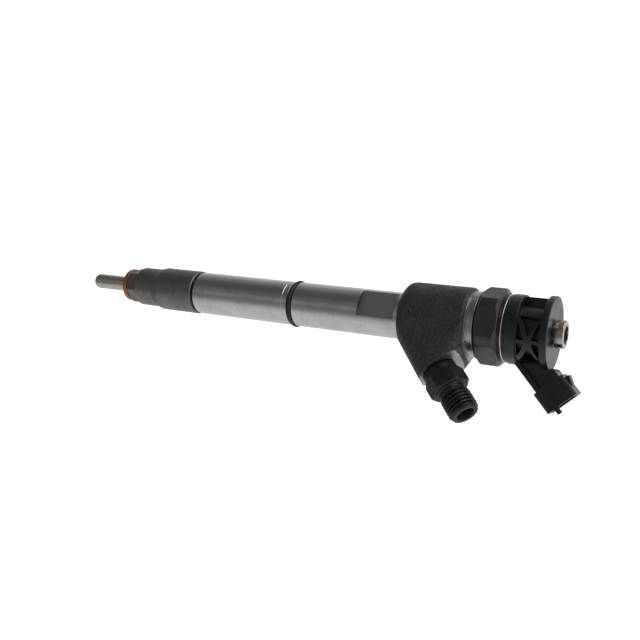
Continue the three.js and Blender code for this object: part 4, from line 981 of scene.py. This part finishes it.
key_crest = -shroud_thick / 2 - 0.9 * mm
key_low = 30.8 * mm
key_high = 37.4 * mm
carve(snout, block("key", (key_place - key_half, key_crest, key_low),
                   (key_place + key_half, key_root, key_high), snout_place), "UNION")
ramp = bmesh.new()
ramp_half = 2.1 * mm
ramp_foot = -shroud_wide / 2
ramp_side = [(ramp_foot + 0.5 * mm, 27.4 * mm), (ramp_foot - 1.5 * mm, 27.7 * mm),
             (ramp_foot - 0.1 * mm, 32 * mm), (ramp_foot + 0.5 * mm, 32 * mm)]
ends = [[ramp.verts.new((x, y, z)) for x, z in ramp_side] for y in (-ramp_half, ramp_half)]
for end in ends:
    ramp.faces.new(end)
for i in range(4):
    ramp.faces.new([ends[0][i - 1], ends[0][i], ends[1][i], ends[1][i - 1]])
carve(snout, placed("ramp", ramp, snout_place), "UNION")
over_disc = turned("over_disc", [
    (0, disc_top, 0),
    (disc_radius, disc_top, 0),
    (disc_radius, disc_top + disc_radius, 0),
    (0, disc_top + disc_radius, 0),
])
carve(snout, over_disc)
carve(cap, snout, "UNION")
for side in (-1, 1):
    middle = snout_turn + side * panel_turn
    windows = [
        [(-42, window_low + 0.5 * mm), (-42, window_high - 0.5 * mm), (-11, middle_height)],
        [(44, window_low + 0.5 * mm), (41, window_high - 0.5 * mm), (9, middle_height)],
        [(-32, window_low), (-3, window_low), (-3, middle_height - lattice_half)],
        [(34, window_low), (3, window_low), (3, middle_height - lattice_half)],
        [(-35, window_high), (-3, window_high), (-3, middle_height + lattice_half)],
        [(37, window_high), (3, window_high), (3, middle_height + lattice_half)],
    ]
    for corners in windows:
        carve(cap, window(middle, [(side * turn, height) for turn, height in corners]))
plug_room = bar("plug_room", shroud_wide - 2 * shroud_wall, shroud_thick - 2 * shroud_wall, 0.8 * mm,
                shroud_floor, shroud_end + 5 * mm, snout_place)
carve(cap, plug_room)
well_wide = 7.4 * mm
well_thick = 5.6 * mm
well_floor = 22.5 * mm
carve(cap, bar("well", well_wide, well_thick, 0.4 * mm, well_floor, shroud_floor + 1 * mm, snout_place))
cap_bore = turned("cap_bore", [
    (0, cap_low.z - 1 * mm, 0),
    (sleeve_top_radius + running_gap, cap_low.z - 1 * mm, 0),
    (sleeve_top_radius + running_gap, sleeve_high.z + 0.05 * mm, 0),
    (hub_radius - 1.2 * mm, sleeve_high.z + 0.05 * mm, 0),
    (hub_radius - 1.2 * mm, disc_top - 1.6 * mm, 0),
    (tube_radius + running_gap, disc_top - 1.6 * mm, 0),
    (tube_radius + running_gap, disc_top + 1 * mm, 0),
    (0, disc_top + 1 * mm, 0),
], sides=96)
disc = turned("disc", [
    (0, disc_top - 1.7 * mm, 0),
    (hub_radius, disc_top - 1.7 * mm, 0),
    (hub_radius, disc_top, 0),
    (0, disc_top, 0),
], sides=160)
carve(cap, disc, "UNION")
carve(cap, cap_bore)
blade_pitch = 4.6 * mm
blade_start = 15 * mm
blade_end = 28.85 * mm
slot_half = 0.9 * mm
slot_half_thick = 0.46 * mm
for side in (-1, 1):
    blade_middle = side * blade_pitch / 2
    slot_from = (blade_middle - slot_half, -slot_half_thick, blade_start - 0.1 * mm)
    slot_to = (blade_middle + slot_half, slot_half_thick, blade_end + 0.05 * mm)
    carve(cap, block("slot", slot_from, slot_to, snout_place))
soften(cap, 0.16 * mm, turn=35)
cap_plastic = moulded("cap_plastic", (0.005, 0.0075, 0.009), (0.009, 0.0125, 0.0145), 0.34, grain=0.14 * mm,
                      depth=0.03 * mm, rubbed=(0.04, 0.047, 0.052))
fit(cap, "cap_plastic", cap_plastic, "connector_cap", crease=40)

# ---------------------------------------------------------------- terminals
# Two blades stamped from tin-plated brass, with their ends chamfered to lead into the plug. They are pushed
# into slots in the floor of the shroud.

tin_plate = machined("tin_plate", (0.70, 0.68, 0.60), (0.56, 0.53, 0.45), 0.26,
                     spots=2 * mm, depth=0.002 * mm)
blade_half = 0.75 * mm
blade_half_thick = 0.315 * mm
blade_chamfer = 0.65 * mm
blade_sections = [
    (blade_start, blade_half, blade_half_thick),
    (blade_end - blade_chamfer, blade_half, blade_half_thick),
    (blade_end, 0.5 * mm, 0.12 * mm),
]
for index, side in ((1, -1), (2, 1)):
    middle = side * blade_pitch / 2
    shape = bmesh.new()
    rings = []
    for height, x, y in blade_sections:
        corners = [(middle + sx * x, sy * y, height) for sx, sy in ((-1, -1), (1, -1), (1, 1), (-1, 1))]
        rings.append([shape.verts.new(corner) for corner in corners])
    for ring, ahead in zip(rings, rings[1:]):
        for i in range(4):
            shape.faces.new([ring[i - 1], ring[i], ahead[i], ahead[i - 1]])
    shape.faces.new(rings[0])
    shape.faces.new(rings[-1])
    blade = placed(f"terminal_{index}", shape, snout_place)
    soften(blade, 0.05 * mm, turn=20)
    fit(blade, "tinned_brass", tin_plate, f"terminal_{index}")

# ---------------------------------------------------------------- return nipple
# Turned steel, pushed up through the cap from below, so it stands on the disc like a short tube. A shallow
# hexagon in its mouth takes the tool that holds it.

nipple_low, nipple_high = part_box("return_nipple")
nipple_radius = 5.4 * mm
nipple_bore = 3.1 * mm
nipple_foot = 1.5 * mm
nipple_root = 4.3 * mm
nipple_key = 6.7 * mm
nipple_key_depth = 2 * mm
nipple_key_turn = 0.2
nipple = turned("return_nipple", [
    (nipple_bore, nipple_low.z, 0.2 * mm),
    (nipple_high.x, nipple_low.z, 0.2 * mm),
    (nipple_high.x, nipple_low.z + nipple_foot, 0.2 * mm),
    (tube_radius, nipple_low.z + nipple_foot, 0.2 * mm),
    (tube_radius, disc_top + 0.05 * mm, 0),
    (nipple_root, disc_top + 0.05 * mm, 0),
    (nipple_root, disc_top + 0.4 * mm, 0.1 * mm),
    (nipple_radius, disc_top + 0.7 * mm, 0.15 * mm),
    (nipple_radius, nipple_high.z, 0.45 * mm),
    (nipple_bore + 0.35 * mm, nipple_high.z, 0.1 * mm),
    (nipple_bore, nipple_high.z - 0.5 * mm, 0.1 * mm),
])
carve(nipple, hex_bar("key", nipple_key, nipple_high.z - nipple_key_depth, nipple_high.z + 1 * mm,
                      nipple_key_turn))
soften(nipple, 0.08 * mm, turn=45)
nipple_steel = machined("nipple_steel", (0.50, 0.45, 0.42), (0.38, 0.34, 0.32), 0.2, spacing=0.25 * mm,
                        spots=4 * mm, depth=0.006 * mm, rubbed=(0.66, 0.62, 0.58))
fit(nipple, "ground_steel", nipple_steel, "return_nipple")

# ---------------------------------------------------------------- edge filter in the inlet
# A slim steel rod with flutes milled along it. It is pressed into the inlet's bore, where its end shines in
# the mouth.

filter_low = shank_low + 0.5 * mm
filter_radius = 1.6 * mm
filter_length = 14 * mm
flutes = 5
edge_filter = turned("inlet_filter", [
    (0, filter_low, 0),
    (filter_radius, filter_low, 0.15 * mm),
    (filter_radius, filter_low + filter_length, 0.3 * mm),
    (0, filter_low + filter_length, 0),
], inlet_place, sides=96)
for i in range(flutes):
    flute_place = inlet_place @ Matrix.Rotation(2 * math.pi * i / flutes, 4, "Z")
    carve(edge_filter, bar("flute", 0.5 * mm, 1.4 * mm, 0.2 * mm, filter_low + 1.5 * mm,
                           filter_low + filter_length + 1 * mm,
                           flute_place @ Matrix.Translation((0, filter_radius, 0))))
lapped_steel = machined("lapped_steel", (0.58, 0.58, 0.58), (0.50, 0.50, 0.51), 0.16, spacing=0.1 * mm,
                        spots=3 * mm, depth=0.001 * mm)
fit(edge_filter, "ground_steel", lapped_steel, "inlet_filter")

# ---------------------------------------------------------------- pieces inside
# The valve, armature, magnet, needle, springs, shims and seals are closed in by the body and the nuts. They
# keep their CAD shapes, and each takes the finish that such a piece has.

drawn_wire = machined("drawn_spring_wire", (0.34, 0.34, 0.35), (0.26, 0.26, 0.27), 0.34, spacing=0.3 * mm,
                      spots=2 * mm)
hard_steel = machined("hardened_steel", (0.46, 0.46, 0.46), (0.36, 0.36, 0.37), 0.28,
                      spacing=0.2 * mm, spots=3 * mm)
soft_iron = machined("pressed_iron_powder", (0.13, 0.125, 0.12), (0.09, 0.088, 0.085), 0.6,
                     spacing=0.4 * mm, spots=1 * mm, metallic=0.6)
enamelled_wire = machined("enamelled_wire", (0.55, 0.2, 0.07), (0.42, 0.14, 0.05), 0.3, spacing=0.2 * mm,
                          spots=2 * mm, depth=0.05 * mm, waver=0.02)
brown_bobbin = moulded("brown_bobbin", (0.09, 0.055, 0.035), (0.12, 0.075, 0.05), 0.5)
inner_finish = {
    lapped_steel: ["control_piston", "valve_body", "valve_ball", "ball_guide", "armature_pin"],
    nozzle_steel: ["nozzle_needle"],
    hard_steel: ["locating_dowel_1", "locating_dowel_2", "needle_spring_seat", "needle_spring_shim",
                 "armature_guide", "armature_plate", "lift_shim", "spring_adjusting_shim"],
    drawn_wire: ["needle_spring", "solenoid_spring", "armature_clip"],
    phosphated_steel: ["valve_clamp_screw"],
    soft_iron: ["magnet_core"],
    tarnished_copper: ["valve_seal_ring", "inlet_seal_ring"],
    enamelled_wire: ["coil_winding"],
    brown_bobbin: ["coil_bobbin"],
    tin_plate: ["coil_lead_1", "coil_lead_2"],
    seal_rubber: ["magnet_o_ring"],
}
for look, names in inner_finish.items():
    for name in names:
        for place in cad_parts[name].material_slots:
            place.material = look

# ---------------------------------------------------------------- stage, light and camera
# A pale floor well below the nozzle, the soft light of a white tent that is open on the camera's side, and a
# long soft lamp over the injector.

floor_drop = 120 * mm
floor_half = 14
sheet = bmesh.new()
bmesh.ops.create_grid(sheet, x_segments=2, y_segments=2, size=floor_half)
floor = placed("floor", sheet, Matrix.Translation((0, 0, cad_low.z - floor_drop)))
floor_look, tree, shader = coat("pale_floor", 0.9, 0)
shader.inputs["Base Color"].default_value = (0.9, 0.9, 0.9, 1)
shader.inputs["Specular IOR Level"].default_value = 0
shader.inputs["Emission Color"].default_value = (1, 1, 1, 1)
shader.inputs["Emission Strength"].default_value = 0.62
floor.data.materials.append(floor_look)
floor.visible_glossy = False
floor.visible_diffuse = False

camera_azimuth = math.radians(-63.5)
tent = bpy.data.worlds.new("tent")
tent.use_nodes = True
tree = tent.node_tree
bpy.context.scene.world = tent
way = node(tree, "TexCoord").outputs["Generated"]


def facing(azimuth, elevation):
    """How much a direction points towards an azimuth from the camera's, from -1 to 1."""
    turn = camera_azimuth + math.radians(azimuth)
    rise = math.radians(elevation)
    axis = (math.cos(turn) * math.cos(rise), math.sin(turn) * math.cos(rise), math.sin(rise))
    return node(tree, "VectorMath", {"operation": "DOT_PRODUCT"}, {0: way, 1: axis}).outputs["Value"]


ahead = facing(0, 0)
aside = facing(90, 0)
turn = node(tree, "Math", {"operation": "ARCTAN2"}, {0: aside, 1: ahead}).outputs[0]
way_round = node(tree, "MapRange", {}, {0: turn, 1: -math.pi, 2: math.pi}).outputs[0]
walls = node(tree, "ValToRGB", {}, {0: way_round})
brightness_at = [(-180, 0.85), (-150, 0.76), (-130, 0.56), (-100, 0.26), (-72, 0.12), (-50, 0.11),
                 (-25, 0.17), (-5, 0.28), (11, 0.2), (28, 0.32), (42, 0.62), (60, 0.75), (95, 0.78),
                 (135, 0.78), (180, 0.85)]
ramp = walls.color_ramp
ramp.interpolation = "EASE"
while len(ramp.elements) < len(brightness_at):
    ramp.elements.new(0.5)
for stop, (azimuth, light) in zip(ramp.elements, brightness_at):
    stop.position = azimuth / 360 + 0.5
    stop.color = (light, light, light, 1)
roof_light = 0.8
pit_light = 0.2
overhead = facing(0, 90)
eased = {"interpolation_type": "SMOOTHSTEP"}
roof = node(tree, "MapRange", eased, {0: overhead, 1: 0.55, 2: 0.95}).outputs[0]
inside = node(tree, "Mix", {}, {0: roof, 2: walls.outputs[0], 3: roof_light}).outputs[0]
pit = node(tree, "MapRange", eased, {0: overhead, 1: -0.6, 2: -0.95}).outputs[0]
glow = node(tree, "Mix", {}, {0: pit, 2: inside, 3: pit_light}).outputs[0]
seen = node(tree, "LightPath").outputs["Is Camera Ray"]
strength = node(tree, "Mix", {}, {0: seen, 2: glow, 3: 1.0}).outputs[0]
tree.links.new(strength, tree.nodes["Background"].inputs["Strength"])
tree.nodes["Background"].inputs["Color"].default_value = (1, 1, 1, 1)

target = Vector((5.2 * mm, 2.5 * mm, 103.4 * mm))
camera_reach = 356.9 * mm
camera_rise = math.radians(27.58)
camera_roll = math.radians(-97.12)
level = math.cos(camera_rise)
back = Vector((math.cos(camera_azimuth) * level, math.sin(camera_azimuth) * level, math.sin(camera_rise)))
eye = Vector((0, 0, target.z)) + back * camera_reach
camera = bpy.data.objects.new("camera", bpy.data.cameras.new("camera"))
camera.data.lens = 47.16
camera.data.sensor_width = 36
camera.data.clip_start = 10 * mm
camera.data.clip_end = 40
camera.location = eye
camera.rotation_mode = "QUATERNION"
look_along = (target - eye).to_track_quat("-Z", "Y")
camera.rotation_quaternion = look_along @ Matrix.Rotation(-camera_roll, 3, "Z").to_quaternion()
bpy.context.scene.collection.objects.link(camera)
bpy.context.scene.camera = camera

lamp = bpy.data.objects.new("lamp", bpy.data.lights.new("lamp", "AREA"))
lamp.data.shape = "RECTANGLE"
lamp.data.size = 0.5
lamp.data.size_y = 0.25
lamp.data.energy = 0.8
lamp_from = Vector((-0.35, -0.30, 0.25))
lamp_aim = lamp_from.to_track_quat("Z", "Y").to_matrix().to_4x4()
lamp.matrix_world = Matrix.Translation(lamp_from + target) @ lamp_aim
lamp.visible_camera = False
bpy.context.scene.collection.objects.link(lamp)
bpy.context.scene.view_settings.view_transform = "Standard"
